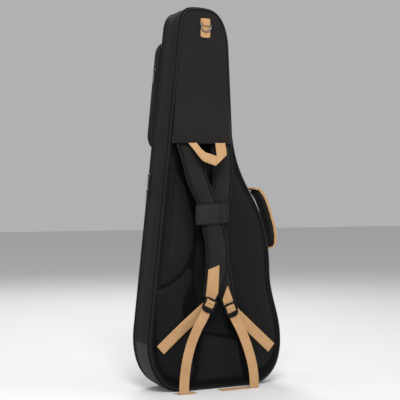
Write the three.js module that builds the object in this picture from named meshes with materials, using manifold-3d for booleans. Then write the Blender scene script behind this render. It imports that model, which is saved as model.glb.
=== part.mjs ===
// Padded gig bag for a solid-body electric guitar, standing upright on its bottom edge.
//
// Millimetres, +Z up. The back of the bag, with its pads and shoulder straps, faces -Y. The front,
// with the zipped lid and its pockets, faces +Y. +X is to the right for someone looking at the back.
// The origin is under the middle of the bag, on the floor.
import * as THREE from 'three';
import { mergeVertices } from 'three/addons/utils/BufferGeometryUtils.js';
import Module from 'manifold-3d';

const wasm = await Module();
wasm.setup();

// ---- driving dimensions ----
const HEIGHT = 1036;           // floor to the top of the neck
const GAP = 0.3;               // clearance kept between touching pieces

// Depths along Y, from the back (-) to the front (+).
const BACK_FACE = -55;         // outer face of the padded back
const BACK_RIM = 32;           // where the back tray ends and the zipper begins
const LID_BACK = 43;           // inner face of the front lid
const LID_FRONT = 55;          // outer face of the front lid
const WALL = 10;               // padded wall of the tray
const ZIP_MIDDLE = 37.5;       // plane of the main zipper's teeth

// The outline, seen from the back: a nearly straight left side and a waisted right side.
const NECK_TOP_LEFT = -88;     // left side where the top corner starts
const BODY_LEFT = -177;        // left side where the bottom corner starts
const BODY_RIGHT = 226;        // widest point of the lower right
const LEFT_TOP_Z = 985;
const LEFT_BOTTOM_Z = 165;
const FOOT_LEFT = -66;         // flat foot of the bag, where it stands
const FOOT_RIGHT = 108;

// Webbing and padding.
const WEBBING = 30;            // webbing width
const WEBBING_THICK = 1.8;
const PAD_THICK = 8;           // mesh-covered back pads
const STRAP_THICK = 13;        // shoulder strap padding
const HEM_Z = 668;             // lower hem of the upper back panel
const STRAP_TOP_Z = 664;       // where the shoulder straps come out under the hem
const BUCKLE_HOLE = 31;        // clear width of a ladder-lock
const PULL_PIN = -5.7;         // how far a zip pull's pin stands out from its slider's base

// ---- materials ----
const material = (color, roughness, metalness = 0) =>
  new THREE.MeshStandardMaterial({ color, roughness, metalness });
const FABRIC = () => material('#26262a', 0.92);
const PANEL = () => material('#2e2d2d', 0.9);
const MESH_PAD = () => material('#222226', 0.95);
const BINDING = () => material('#1d1d20', 0.7);
const LINING = () => material('#4a4a50', 0.95);
const FOAM = () => material('#3a3a40', 0.9);
const TAN = () => material('#c99b66', 0.85);
const TAPE = () => material('#161618', 0.8);
const PLASTIC = () => material('#101012', 0.45);
const METAL = () => material('#b9bcc0', 0.3, 0.9);
const GUARD = () => material('#3c3e40', 0.8);

// ---- geometry helpers ----
const at = (x, y, z) => new THREE.Vector3(x, y, z);
const xz = (x, z) => new THREE.Vector2(x, z);

// A flat shape drawn in X and Z, given thickness from y0 to y1.
function slab(points, y0, y1, holes = []) {
  const shape = new THREE.Shape(points);
  for (const hole of holes) shape.holes.push(new THREE.Path(hole));
  const geometry = new THREE.ExtrudeGeometry(shape, { depth: y1 - y0, bevelEnabled: false });
  return geometry.rotateX(Math.PI / 2).translate(0, y1, 0);
}

// The same, with its -Y face crowned by a bevel of the given height.
function pad(points, y0, y1, bevel = 4) {
  const shape = new THREE.Shape(points);
  const options = { depth: y1 - y0 - bevel, bevelThickness: bevel, bevelSize: bevel, bevelOffset: -bevel,
    bevelSegments: 2, steps: 1 };
  const geometry = new THREE.ExtrudeGeometry(shape, options);
  const crowned = solid(geometry.rotateX(Math.PI / 2).translate(0, y1, 0));
  const cutter = solid(new THREE.BoxGeometry(2000, 100, 3000).translate(0, y1 + 50, 0));
  return meshOf(crowned.subtract(cutter));
}

function box(x0, x1, y0, y1, z0, z1) {
  const geometry = new THREE.BoxGeometry(x1 - x0, y1 - y0, z1 - z0);
  return geometry.translate((x0 + x1) / 2, (y0 + y1) / 2, (z0 + z1) / 2);
}

// A closed body through a row of cross-sections, each a ring of the same number of points.
function loft(rings) {
  const count = rings[0].length;
  const positions = [];
  const triangle = (a, b, c) => positions.push(...a.toArray(), ...b.toArray(), ...c.toArray());
  for (let i = 0; i + 1 < rings.length; i++) {
    for (let j = 0; j < count; j++) {
      const k = (j + 1) % count;
      triangle(rings[i][j], rings[i][k], rings[i + 1][j]);
      triangle(rings[i][k], rings[i + 1][k], rings[i + 1][j]);
    }
  }
  const last = rings[rings.length - 1];
  for (let j = 1; j + 1 < count; j++) {
    triangle(rings[0][0], rings[0][j + 1], rings[0][j]);
    triangle(last[0], last[j], last[j + 1]);
  }
  const geometry = new THREE.BufferGeometry();
  geometry.setAttribute('position', new THREE.Float32BufferAttribute(positions, 3));
  if (volumeOf(positions) < 0) return flipped(geometry);
  return geometry;
}

function volumeOf(positions) {
  let sum = 0;
  for (let i = 0; i < positions.length; i += 9) {
    const [a, b, c] = [0, 3, 6].map((k) => at(...positions.slice(i + k, i + k + 3)));
    sum += a.dot(b.cross(c));
  }
  return sum;
}

function flipped(geometry) {
  const array = geometry.getAttribute('position').array;
  for (let i = 0; i < array.length; i += 9) {
    for (let k = 0; k < 3; k++) {
      [array[i + 3 + k], array[i + 6 + k]] = [array[i + 6 + k], array[i + 3 + k]];
    }
  }
  return geometry;
}

// A flat strip along a smooth curve. across() gives the strip's width direction at t.
function ribbon(points, width, thick, across, steps) {
  const curve = new THREE.CatmullRomCurve3(points, false, 'centripetal');
  const rings = [];
  for (let i = 0; i <= steps; i++) {
    const t = i / steps;
    const centre = curve.getPointAt(t);
    const side = across(t).clone();
    const tangent = curve.getTangentAt(t);
    side.addScaledVector(tangent, -side.dot(tangent)).normalize();
    const normal = tangent.clone().cross(side).normalize();
    const half = (typeof width === 'function' ? width(t) : width) / 2;
    const corner = (s, n) => centre.clone()
      .addScaledVector(side, s * half).addScaledVector(normal, n * thick / 2);
    rings.push([corner(-1, -1), corner(1, -1), corner(1, 1), corner(-1, 1)]);
  }
  return loft(rings);
}

const ALONG_X = () => at(1, 0, 0);
const ALONG_Y = () => at(0, 1, 0);

// A three.js geometry as a solid for cutting and joining, and back.
function solid(geometry) {
  const bare = geometry.clone();
  for (const name of ['normal', 'uv']) bare.deleteAttribute(name);
  const merged = mergeVertices(bare, 1e-4);
  const mesh = new wasm.Mesh({ numProp: 3, vertProperties: merged.getAttribute('position').array,
    triVerts: new Uint32Array(merged.index.array) });
  return new wasm.Manifold(mesh);
}

function meshOf(manifold) {
  const mesh = manifold.getMesh();
  const geometry = new THREE.BufferGeometry();
  geometry.setAttribute('position', new THREE.BufferAttribute(mesh.vertProperties, 3));
  geometry.setIndex(new THREE.BufferAttribute(mesh.triVerts, 1));
  return geometry;
}

const joined = (...parts) => meshOf(parts.map(solid).reduce((a, b) => a.add(b)));
const cut = (body, ...tools) => meshOf(tools.reduce((left, tool) => left.subtract(solid(tool)), solid(body)));

// ---- the outline ----
// Counter-clockwise from the left end of the foot, in named stretches.
const bezier = (a, b, c, d, n) => new THREE.CubicBezierCurve(a, b, c, d).getPoints(n);
const OUTLINE = {
  foot: [xz(FOOT_LEFT, 0), xz(FOOT_RIGHT, 0)],
  cornerRight: bezier(xz(FOOT_RIGHT, 0), xz(190, 0), xz(BODY_RIGHT, 45), xz(BODY_RIGHT, 125), 8),
  boutRight: bezier(xz(BODY_RIGHT, 125), xz(BODY_RIGHT, 195), xz(193, 240), xz(191, 315), 7),
  waist: bezier(xz(191, 315), xz(190, 350), xz(189, 375), xz(181, 408), 5),
  shoulder: bezier(xz(181, 408), xz(172, 445), xz(162, 478), xz(143, 511), 5),
  neckRoot: bezier(xz(143, 511), xz(110, 568), xz(80, 610), xz(71, 700), 7),
  neckRight: [xz(71, 700), xz(60, 930)],
  topRight: bezier(xz(60, 930), xz(57, 995), xz(34, HEIGHT), xz(-12, HEIGHT), 7),
  top: [xz(-12, HEIGHT), xz(-46, HEIGHT)],
  topLeft: bezier(xz(-46, HEIGHT), xz(-72, HEIGHT), xz(-85, 1016), xz(NECK_TOP_LEFT, LEFT_TOP_Z), 6),
  left: [xz(NECK_TOP_LEFT, LEFT_TOP_Z), xz(BODY_LEFT, LEFT_BOTTOM_Z)],
  cornerLeft: bezier(xz(BODY_LEFT, LEFT_BOTTOM_Z), xz(-186, 76), xz(-150, 0), xz(FOOT_LEFT, 0), 8),
};

// The points of some stretches in a row, without doubles.
function path(...names) {
  const points = names.flatMap((name) => OUTLINE[name]);
  return points.filter((p, i) => i === 0 || p.distanceTo(points[i - 1]) > 1e-6);
}

const closed = (points) => points.filter((p, i) => p.distanceTo(points[(i + 1) % points.length]) > 1e-6);
const WHOLE = closed(path(...Object.keys(OUTLINE)));

// Moves a counter-clockwise loop outwards by d, or inwards where d is negative.
function offset(points, d, open = false) {
  const count = points.length;
  return points.map((p, i) => {
    const before = open && i === 0 ? p : points[(i + count - 1) % count];
    const after = open && i === count - 1 ? p : points[(i + 1) % count];
    const into = p.clone().sub(before);
    const out = after.clone().sub(p);
    const normals = [into, out].filter((v) => v.length() > 0).map((v) => xz(v.y, -v.x).normalize());
    const middle = normals.reduce((a, b) => a.clone().add(b), xz(0, 0)).normalize();
    return p.clone().addScaledVector(middle, d / Math.max(middle.dot(normals[0]), 0.5));
  });
}

// A band that follows part of the outline, from inset a to inset b, and from y0 to y1.
function band(points, a, b, y0, y1) {
  return slab([...offset(points, b, true), ...offset(points, a, true).reverse()], y0, y1);
}

const ring = (a, b, y0, y1) => slab(offset(WHOLE, b), y0, y1, [offset(WHOLE, a)]);

// Left (-1) or right (1) edge of a closed outline at a height.
function edgeAt(points, z, side) {
  const hits = [];
  points.forEach((p, i) => {
    const q = points[(i + 1) % points.length];
    if ((p.y - z) * (q.y - z) <= 0 && p.y !== q.y) hits.push(p.x + (q.x - p.x) * (z - p.y) / (q.y - p.y));
  });
  return side < 0 ? Math.min(...hits) : Math.max(...hits);
}

// ---- the parts ----
const bag = new THREE.Group();
function add(name, geometry, look) {
  const mesh = new THREE.Mesh(geometry, look);
  mesh.name = name;
  bag.add(mesh);
  return mesh;
}

// The stiffened back tray: padded back and gusset in one sewn shell.
function backTray() {
  const outer = slab(WHOLE, BACK_FACE, BACK_RIM);
  const hollow = slab(offset(WHOLE, -WALL), BACK_FACE + WALL, BACK_RIM + 5);
  add('back_shell', cut(outer, hollow), FABRIC());
  const lining = slab(offset(WHOLE, -WALL - 1), BACK_FACE + WALL + GAP, BACK_FACE + WALL + 2);
  add('back_lining', lining, LINING());
  add('back_piping', ring(-6, -0.8, BACK_FACE - 3.3, BACK_FACE - GAP), BINDING());
}

// The front lid, which opens like a book about the hinge strip on the right.
function lid() {
  add('front_panel', slab(WHOLE, LID_BACK, LID_FRONT), FABRIC());
  add('front_piping', ring(-6, -0.8, LID_FRONT + GAP, LID_FRONT + 3.3), BINDING());
  const guard = [xz(-110, 90), xz(150, 90), xz(130, 330), xz(-100, 330)];
  add('bridge_guard', slab(guard, LID_BACK - 2.5, LID_BACK - GAP), FOAM());
}

const ZIPPED = () => path('shoulder', 'neckRoot', 'neckRight', 'topRight', 'top', 'topLeft', 'left',
  'cornerLeft', 'foot', 'cornerRight');
const HINGED = () => path('boutRight', 'waist');

function mainZipper() {
  const line = ZIPPED();
  add('zipper_tape_back', band(line, -3, -0.5, BACK_RIM + GAP, ZIP_MIDDLE - 1.6), TAPE());
  add('zipper_coil', band(line, -2.5, -0.2, ZIP_MIDDLE - 1.3, ZIP_MIDDLE + 1.3), PLASTIC());
  add('zipper_tape_front', band(line, -3, -0.5, ZIP_MIDDLE + 1.6, LID_BACK - GAP), TAPE());
  const fold = HINGED().slice(1, -1);
  add('hinge_strip', band(fold, -3, -0.8, BACK_RIM + GAP, LID_BACK - GAP), FABRIC());
}

// A zip slider on the left side of an outline at height z, with its pull hanging from it.
function slider(name, points, z, y) {
  const lean = Math.atan2(edgeAt(points, z + 10, -1) - edgeAt(points, z - 10, -1), 20);
  const group = new THREE.Group();
  group.position.set(edgeAt(points, z, -1) - 0.9, y, z);
  group.rotation.y = lean;
  const place = (part, geometry) => {
    const mesh = new THREE.Mesh(geometry, METAL());
    mesh.name = `${name}_${part}`;
    group.add(mesh);
  };
  const bridge = cut(box(-8.2, -4.4, -2, 2, -3.2, 3.2), box(-7.1, -4, -3, 3, -1.9, 1.9));
  place('slider', joined(box(-4.5, 0, -4.5, 4.5, -7, 7), bridge));
  // The pull is in line with its pin: an arm on each side of the bridge, and a plate below them.
  const [inner, outer] = [PULL_PIN + 0.8, PULL_PIN - 0.8];
  const arms = [-1, 1].map((s) => box(outer, inner, 3.3 * s - 0.9, 3.3 * s + 0.9, -5.5, 0.7));
  const plate = box(outer, inner, -4.2, 4.2, -34, -5);
  const pin = box(outer, inner, -4.2, 4.2, -0.7, 0.7);
  place('pull', joined(plate, pin, ...arms));
  bag.add(group);
}

// ---- pockets on the lid ----
const POCKET_WALL = 2.5;

// A pocket sewn on the lid, open through a zipped mouth in its left side.
function pocket(name, points, depth, mouthFrom, mouthTo) {
  const y0 = LID_FRONT + 3.6;
  const outer = slab(points, y0, y0 + depth);
  const hollow = slab(offset(points, -POCKET_WALL), y0 - 5, y0 + depth - POCKET_WALL);
  const left = Math.min(...points.map((p) => p.x)) - 20;
  const mouth = (gap) => box(left, 0, y0 + 8 + gap, y0 + 14 - gap, mouthFrom + gap, mouthTo - gap);
  const wall = solid(cut(outer, hollow));
  add(name, meshOf(wall.subtract(solid(mouth(0)))), FABRIC());
  add(`${name}_zipper`, meshOf(wall.intersect(solid(mouth(GAP)))), TAPE());
  slider(name, points, mouthTo - 30, y0 + 11);
}

const neckPocketOutline = () => closed([
  ...bezier(xz(-119, 700), xz(-119, 664), xz(-104, 655), xz(-76, 655), 4),
  ...bezier(xz(20, 655), xz(50, 655), xz(60, 668), xz(60, 700), 4),
  ...bezier(xz(50, 918), xz(48, 950), xz(30, 961), xz(4, 961), 4),
  ...bezier(xz(-52, 961), xz(-80, 961), xz(-94, 950), xz(-97, 918), 4),
]);

const bodyPocketOutline = () => closed([
  ...bezier(xz(-145, 170), xz(-152, 80), xz(-120, 40), xz(-60, 38), 6),
  ...bezier(xz(100, 38), xz(170, 42), xz(196, 110), xz(176, 220), 6),
  ...bezier(xz(176, 220), xz(160, 300), xz(172, 400), xz(110, 500), 7),
  ...bezier(xz(110, 500), xz(80, 548), xz(-90, 562), xz(-112, 480), 6),
]);

function pockets() {
  pocket('neck_pocket', neckPocketOutline(), 36, 710, 905);
  pocket('body_pocket', bodyPocketOutline(), 24, 190, 470);
}

// ---- the back: panels and pads ----
function upperPanel() {
  const inside = offset(WHOLE, -7);
  const upper = inside.filter((p) => p.y > HEM_Z + 4);
  const left = xz(edgeAt(WHOLE, HEM_Z, -1) + 7, HEM_Z);
  const right = xz(edgeAt(WHOLE, HEM_Z, 1) - 7, HEM_Z);
  add('upper_back_panel', slab([left, right, ...upper], BACK_FACE - 3.3, BACK_FACE - GAP), PANEL());
}

function backPads() {
  const y0 = BACK_FACE - GAP - PAD_THICK;
  const y1 = BACK_FACE - GAP;
  const lumbar = closed([
    ...bezier(xz(-150, 285), xz(-95, 300), xz(-52, 340), xz(-50, 420), 7),
    ...bezier(xz(-50, 420), xz(-52, 510), xz(-76, 580), xz(-117, 600), 7),
  ]);
  add('lumbar_pad', pad(lumbar, y0, y1), MESH_PAD());
  const lower = closed([
    xz(-156, 120),
    ...bezier(xz(-146, 76), xz(-132, 46), xz(-104, 30), xz(-62, 26), 6),
    xz(-48, 60),
    ...bezier(xz(-60, 170), xz(-88, 205), xz(-92, 240), xz(-56, 284), 6),
    xz(-53, 325),
    ...bezier(xz(-64, 333), xz(-84, 300), xz(-118, 284), xz(-158, 274), 6),
  ]);
  add('lower_left_pad', pad(lower, y0, y1), PANEL());
  const right = closed([
    ...bezier(xz(116, 30), xz(170, 40), xz(208, 70), xz(208, 125), 6),
    ...bezier(xz(208, 125), xz(208, 195), xz(176, 240), xz(174, 315), 6),
    ...bezier(xz(174, 315), xz(174, 400), xz(158, 470), xz(128, 508), 6),
    ...bezier(xz(128, 508), xz(96, 560), xz(72, 600), xz(60, 650), 5),
    xz(24, 640),
    ...bezier(xz(14, 480), xz(20, 420), xz(20, 320), xz(60, 250), 6),
    ...bezier(xz(60, 250), xz(86, 200), xz(104, 120), xz(116, 30), 5),
  ]);
  add('right_pad', pad(right, y0, y1), PANEL());
  const bottom = [xz(-38, 24), xz(104, 24), xz(88, 116), xz(78, 128), xz(-26, 152)];
  add('bottom_pad', pad(bottom, y0, y1), PANEL());
  const spine = [xz(-44, 164), xz(62, 142), xz(44, 236), xz(10, 300), xz(0, 480), xz(10, 650), xz(-96, 650),
    xz(-60, 600), xz(-42, 520), xz(-38, 400), xz(-46, 300), xz(-36, 250)];
  add('spine_panel', slab(spine, BACK_FACE - 2.6, BACK_FACE - GAP), MESH_PAD());
}

function cornerGuards() {
  const left = path('left', 'cornerLeft').filter((p) => p.y < 170 && p.x < -88);
  const right = path('cornerRight').filter((p) => p.x > 140);
  add('corner_guard_left', band(left, GAP, 2.3, BACK_FACE + 2, BACK_RIM - 2), GUARD());
  add('corner_guard_right', band(right, GAP, 2.3, BACK_FACE + 2, BACK_RIM - 2), GUARD());
}

// ---- webbing, straps and buckles ----
// A padded shoulder strap through points [x, y, z, width].
function strapPad(name, stations) {
  const centres = new THREE.CatmullRomCurve3(stations.map(([x, y, z]) => at(x, y, z)), false, 'centripetal');
  const widths = stations.map((s) => s[3]);
  const steps = 22;
  const rings = [];
  for (let i = 0; i <= steps; i++) {
    const t = i / steps;
    const f = t * (widths.length - 1);
    const k = Math.min(Math.floor(f), widths.length - 2);
    const half = THREE.MathUtils.lerp(widths[k], widths[k + 1], f - k) / 2;
    const c = centres.getPoint(t);
    const tangent = centres.getTangent(t);
    const side = at(1, 0, 0).addScaledVector(tangent, -tangent.x).normalize();
    const normal = side.clone().cross(tangent).normalize();
    const corner = (s, n) => c.clone().addScaledVector(side, s).addScaledVector(normal, n);
    const [h, q] = [STRAP_THICK / 2, STRAP_THICK / 4];
    rings.push([corner(-half, -q), corner(-half + 5, -h), corner(half - 5, -h), corner(half, -q),
      corner(half, q), corner(half - 5, h), corner(-half + 5, h), corner(-half, q)]);
  }
  add(name, loft(rings), FABRIC());
}

// Stations of the straps, each x, y, z and width, from the hem down to the buckle.
const LEFT_STRAP = [[-76, -75, STRAP_TOP_Z, 68], [-65, -85, 622, 70], [-47, -91, 569, 70],
  [-21, -91, 516, 62], [-12, -91, 480, 62], [-8, -91, 440, 68], [-2, -91, 400, 70], [1, -91, 355, 70],
  [-4, -91, 302, 64], [-12, -88, 268, 48], [-17, -83, 247, 38]];
const RIGHT_STRAP = [[28, -75, STRAP_TOP_Z, 68], [27, -75, 600, 68], [20, -74.5, 530, 68],
  [15, -74.5, 480, 66], [14, -74.5, 430, 66], [15, -74.5, 370, 66], [26, -74.5, 325, 62],
  [40, -75.5, 283, 54], [50, -77, 240, 38]];

const BUCKLES = {
  left: { x: -18, y: -84, z: 232, lean: 0.2 },
  right: { x: 52, y: -81, z: 221, lean: -0.28 },
};

// A ladder-lock: an outer frame with three bars and two slots, leaning with its strap.
function buckle(name, { x, y, z, lean }) {
  const half = BUCKLE_HOLE / 2 + 4;
  const frame = [xz(-half, 11), xz(half, 11), xz(half, -10), xz(half - 6, -16), xz(6 - half, -16),
    xz(-half, -10)];
  const slot = (z0, z1) => box(-BUCKLE_HOLE / 2, BUCKLE_HOLE / 2, -5, 5, z0, z1);
  const mesh = add(name, cut(slab(frame, -2, 2), slot(1.5, 7), slot(-9, -2.5)), PLASTIC());
  mesh.rotation.y = lean;
  mesh.position.set(x, y, z);
}

// Webbing sewn on the lower end of a shoulder strap, down to the buckle's top bar.
function strapWebbing(name, points) {
  add(name, ribbon(points, WEBBING, WEBBING_THICK, ALONG_X, 8), TAN());
}

// The free tail of the adjusting webbing: down from the buckle to the floor, where its end lies.
const LEFT_TAIL = [[-20, -89, 226], [-36, -92, 190], [-58, -94, 140], [-76, -95, 90], [-86, -95, 45],
  [-89, -96, 18], [-88, -101, 6], [-86, -110, 2], [-78, -132, 1.6]];
const RIGHT_TAIL = [[56, -86, 214], [66, -89, 190], [88, -92, 145], [106, -94, 100], [121, -95, 60],
  [126, -96, 30], [122, -97, 10], [110, -98, 2.6], [84, -99, 1.6], [48, -100, 1.6]];
const LEFT_ANCHOR = [[-24, -80, 228], [-60, -74, 196], [-105, -69, 157], [-150, -66.2, 117]];
const RIGHT_ANCHOR = [[58, -77, 217], [96, -73, 184], [142, -69, 144], [190, -66.2, 102]];

// The width direction of a tail turns from start to finish between the shares t0 and t1 of its length.
const turning = (start, finish, t0, t1) => (t) =>
  start.clone().lerp(finish, THREE.MathUtils.smoothstep(t, t0, t1));
const across = (points) => {
  const first = points[0];
  const last = points[points.length - 1];
  const run = at(last[0] - first[0], 0, last[2] - first[2]).normalize();
  return () => at(-run.z, 0, run.x);
};

function webbings() {
  const place = (points) => points.map((p) => at(...p));
  const flat = (points, name, side, steps) =>
    add(name, ribbon(place(points), WEBBING, WEBBING_THICK, side, steps), TAN());
  flat(LEFT_ANCHOR, 'anchor_webbing_left', across(LEFT_ANCHOR), 8);
  flat(RIGHT_ANCHOR, 'anchor_webbing_right', across(RIGHT_ANCHOR), 8);
  flat(LEFT_TAIL, 'strap_tail_left', turning(at(1, 0, 0.3), at(1, 0.3, 0), 0.8, 0.9), 26);
  flat(RIGHT_TAIL, 'strap_tail_right', turning(at(-1, 0, 0.3), at(0, 1, 0), 0.52, 0.68), 30);
  strapWebbing('strap_webbing_left', [at(-11, -99.6, 326), at(-10, -99.8, 296),
    at(-15, -97.6, 266), at(-17, -93.5, 246)]);
  strapWebbing('strap_webbing_right', [at(41, -84, 290), at(43, -85, 275),
    at(48, -86, 254), at(50, -86.4, 236)]);
}

function strapWrap() {
  const outer = box(-56.5, 54, -101.5, -64.5, 457, 505);
  add('strap_wrap', cut(outer, box(-53.5, 51.2, -98.4, -67.3, 440, 520)), PANEL());
}

// Webbing haul handle between the shoulder straps.
function haulHandle() {
  const points = [at(-62, -88, 672), at(-53, -105, 655), at(-38, -112, 636), at(-18, -113, 623),
    at(3, -113, 620), at(17, -110, 630), at(20, -104, 648), at(20, -88, 672)];
  const half = (t) => at(Math.cos(Math.PI * t), 0, -Math.sin(Math.PI * t));
  add('haul_handle', ribbon(points, 28, 2.4, half, 22), TAN());
}

// Grab handle on the right gusset: padded grip under a webbing strap, with a sewn square at each end.
const HANDLE = [at(134, 0, 549), at(150, 0, 551), at(172, 0, 545), at(196, 0, 520), at(216, 0, 480),
  at(229, 0, 440), at(233, 0, 405), at(222, 0, 384), at(200, 0, 376.5)];

function sideHandle() {
  add('side_handle_webbing', ribbon(HANDLE, 38, 2.2, ALONG_Y, 26), TAN());
  const onRight = (z) => at(edgeAt(WHOLE, z, 1) + 1.4, 0, z);
  add('handle_anchor_upper', ribbon([onRight(585), onRight(548)], 44, 1.6, ALONG_Y, 1), FABRIC());
  add('handle_anchor_lower', ribbon([onRight(368), onRight(330)], 44, 1.6, ALONG_Y, 1), FABRIC());
  const grip = HANDLE.slice(2, 7).map((p) => p.clone().add(at(-7, 0, -4.5)));
  add('side_handle_grip', ribbon(grip, 40, 9, ALONG_Y, 14), FABRIC());
}

// Metal D-ring hanging in a folded webbing tab near the top of the back.
function dRing() {
  const y = BACK_FACE - 4.3;
  add('d_ring_tab', box(-30, 4, y - 1.2, y + 0.3, 957, 1009), TAN());
  const outer = bezier(xz(-30, 994), xz(-30, 964), xz(4, 964), xz(4, 994), 8);
  const inner = bezier(xz(-26, 990), xz(-26, 971), xz(0, 971), xz(0, 990), 8);
  add('d_ring', slab(closed(outer), y - 5.4, y - 2.4, [closed(inner)]), METAL());
}

// ---- inside ----
function insides() {
  const floor = BACK_FACE + WALL + 2 + GAP;
  const saddle = slab([xz(-72, 700), xz(38, 700), xz(36, 752), xz(-68, 752)], floor, 22);
  const notch = box(-50, 16, -18, 40, 690, 760);
  add('neck_cradle', cut(saddle, notch), FOAM());
  add('neck_strap', box(-56, 22, 22.4, 24.4, 712, 740), TAN());
  add('headstock_pad', box(-62, 26, floor, floor + 12, 860, 960), FOAM());
  add('bottom_block', box(-60, 104, floor, 28, 10.5, 36), FOAM());
}

backTray();
lid();
mainZipper();
slider('upper', WHOLE, 582, ZIP_MIDDLE);
slider('lower', WHOLE, 540, ZIP_MIDDLE);
pockets();
upperPanel();
backPads();
cornerGuards();
strapPad('strap_pad_left', LEFT_STRAP);
strapPad('strap_pad_right', RIGHT_STRAP);
buckle('ladder_lock_left', BUCKLES.left);
buckle('ladder_lock_right', BUCKLES.right);
webbings();
strapWrap();
haulHandle();
sideHandle();
dRing();
insides();

export default bag;
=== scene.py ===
"""The looks of a padded gig bag that stands on its foot: fabric, pads, webbing, zips and buckles.

Everything is drawn in millimetres in the frame's own axes: the back of the bag faces -Y, the front lid +Y,
and Z is up. Shape.points turns into metres when a piece is made.
"""

import math

import bmesh
import bpy
import numpy as np
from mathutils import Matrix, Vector, noise
from mathutils.geometry import delaunay_2d_cdt


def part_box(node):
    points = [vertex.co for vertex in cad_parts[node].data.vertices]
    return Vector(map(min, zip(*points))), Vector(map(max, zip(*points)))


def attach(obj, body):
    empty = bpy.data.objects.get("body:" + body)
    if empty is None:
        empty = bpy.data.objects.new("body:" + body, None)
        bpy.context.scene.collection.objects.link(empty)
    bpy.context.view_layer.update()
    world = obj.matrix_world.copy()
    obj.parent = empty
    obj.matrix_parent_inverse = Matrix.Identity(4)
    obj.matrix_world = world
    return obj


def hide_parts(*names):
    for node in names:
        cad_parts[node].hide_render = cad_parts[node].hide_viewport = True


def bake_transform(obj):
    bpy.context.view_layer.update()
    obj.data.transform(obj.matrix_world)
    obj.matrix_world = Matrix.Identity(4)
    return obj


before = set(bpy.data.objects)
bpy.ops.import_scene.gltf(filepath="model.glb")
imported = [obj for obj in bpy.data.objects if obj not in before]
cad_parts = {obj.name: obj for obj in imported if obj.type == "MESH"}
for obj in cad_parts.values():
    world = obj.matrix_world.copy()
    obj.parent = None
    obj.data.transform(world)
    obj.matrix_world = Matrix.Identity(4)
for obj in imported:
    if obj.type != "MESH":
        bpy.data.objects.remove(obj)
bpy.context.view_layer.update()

MM = 0.001
FLOOR_GAP = 0.2                # the lowest that any cloth may reach
STEP = 6.0                     # usual spacing of points along an outline
WELD = 3e-6                    # metres within which a CAD face's corners are one point
COARSE = 14.0                  # spacing of points in a flat face that stays hidden
FLAT_WITHIN = 0.05             # how near to a depth a flat face's corners lie


def box(node):
    """Lowest and highest corner of a CAD node, in millimetres."""
    low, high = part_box(node)
    return np.array(low) / MM, np.array(high) / MM


BACK_FACE = box("back_shell")[0][1]
BACK_RIM = box("back_shell")[1][1]
LID_BACK = box("front_panel")[0][1]
LID_FRONT = box("front_panel")[1][1]
HEM_Z = box("upper_back_panel")[0][2]
ZIP_MIDDLE = (BACK_RIM + LID_BACK) / 2
PAD_BASE = BACK_FACE - 0.3     # where the pads and panels lie on the back
WEBBING = 30.0
WEBBING_THICK = 1.6


# ---------------------------------------------------------------- curves
def unit(vectors):
    """The vectors with length 1."""
    return vectors / np.maximum(np.linalg.norm(vectors, axis=-1, keepdims=True), 1e-9)


def smooth(points, step=STEP, closed=False, corner=32.0):
    """Points about step apart on a smooth curve through these; turns over corner degrees stay sharp."""
    points = np.asarray(points, float)
    count = len(points)
    chord = np.roll(points, -1, axis=0) - points
    length = np.linalg.norm(chord, axis=1)
    leaving = unit(chord)
    arriving = np.roll(leaving, 1, axis=0)
    before = np.roll(length, 1)
    tangent = unit(arriving * length[:, None] + leaving * before[:, None])
    tangent = np.where((before > 3 * length)[:, None], arriving, tangent)
    tangent = np.where((length > 3 * before)[:, None], leaving, tangent)
    sharp = (arriving * leaving).sum(axis=1) < math.cos(math.radians(corner))
    if not closed:
        sharp[0] = sharp[-1] = True
    out = []
    for i in range(count if closed else count - 1):
        j = (i + 1) % count
        start = (leaving[i] if sharp[i] else tangent[i]) * length[i]
        end = (leaving[i] if sharp[j] else tangent[j]) * length[i]
        t = np.arange(max(1, round(length[i] / step)))[:, None]
        t = t / len(t)
        out.append((2 * t ** 3 - 3 * t ** 2 + 1) * points[i] + (t ** 3 - 2 * t ** 2 + t) * start
                   + (3 * t ** 2 - 2 * t ** 3) * points[j] + (t ** 3 - t ** 2) * end)
    if not closed:
        out.append(points[-1:])
    return np.concatenate(out)


def area(p):
    """The signed area of a loop in x and z."""
    return (p[:, 0] * np.roll(p[:, 1], -1) - p[:, 1] * np.roll(p[:, 0], -1)).sum() / 2


def loop_of(node, y):
    """The outer loop of a CAD node's flat face at depth y: x and z in order, counter-clockwise."""
    work = bmesh.new()
    work.from_mesh(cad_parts[node].data)
    bmesh.ops.remove_doubles(work, verts=work.verts, dist=WELD)
    follows = {}
    for edge in work.edges:
        flat = [all(abs(v.co.y / MM - y) < FLAT_WITHIN for v in face.verts) for face in edge.link_faces]
        if sum(flat) == 1:
            a, b = edge.verts
            follows.setdefault(a, []).append(b)
            follows.setdefault(b, []).append(a)
    loops = []
    left = set(follows)
    while left:
        loop = [min(left, key=lambda v: v.index)]
        while True:
            left.discard(loop[-1])
            ahead = [v for v in follows[loop[-1]] if v in left]
            if not ahead:
                break
            loop.append(ahead[0])
        loops.append(np.array([(v.co.x / MM, v.co.z / MM) for v in loop]))
    work.free()
    best = max(loops, key=lambda p: abs(area(p)))
    return best if area(best) > 0 else best[::-1]


def outward(points, closed=True):
    """The outward normals of a counter-clockwise path in x and z."""
    ahead = np.roll(points, -1, axis=0) - np.roll(points, 1, axis=0)
    if not closed:
        ahead[0] = points[1] - points[0]
        ahead[-1] = points[-1] - points[-2]
    ahead = unit(ahead)
    return np.stack([ahead[:, 1], -ahead[:, 0]], axis=1)


def normals(points, closed=True):
    """The outward normals of a path in x and z, as 3-D vectors."""
    way = outward(points, closed)
    return np.stack([way[:, 0], np.zeros(len(way)), way[:, 1]], axis=1)


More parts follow.
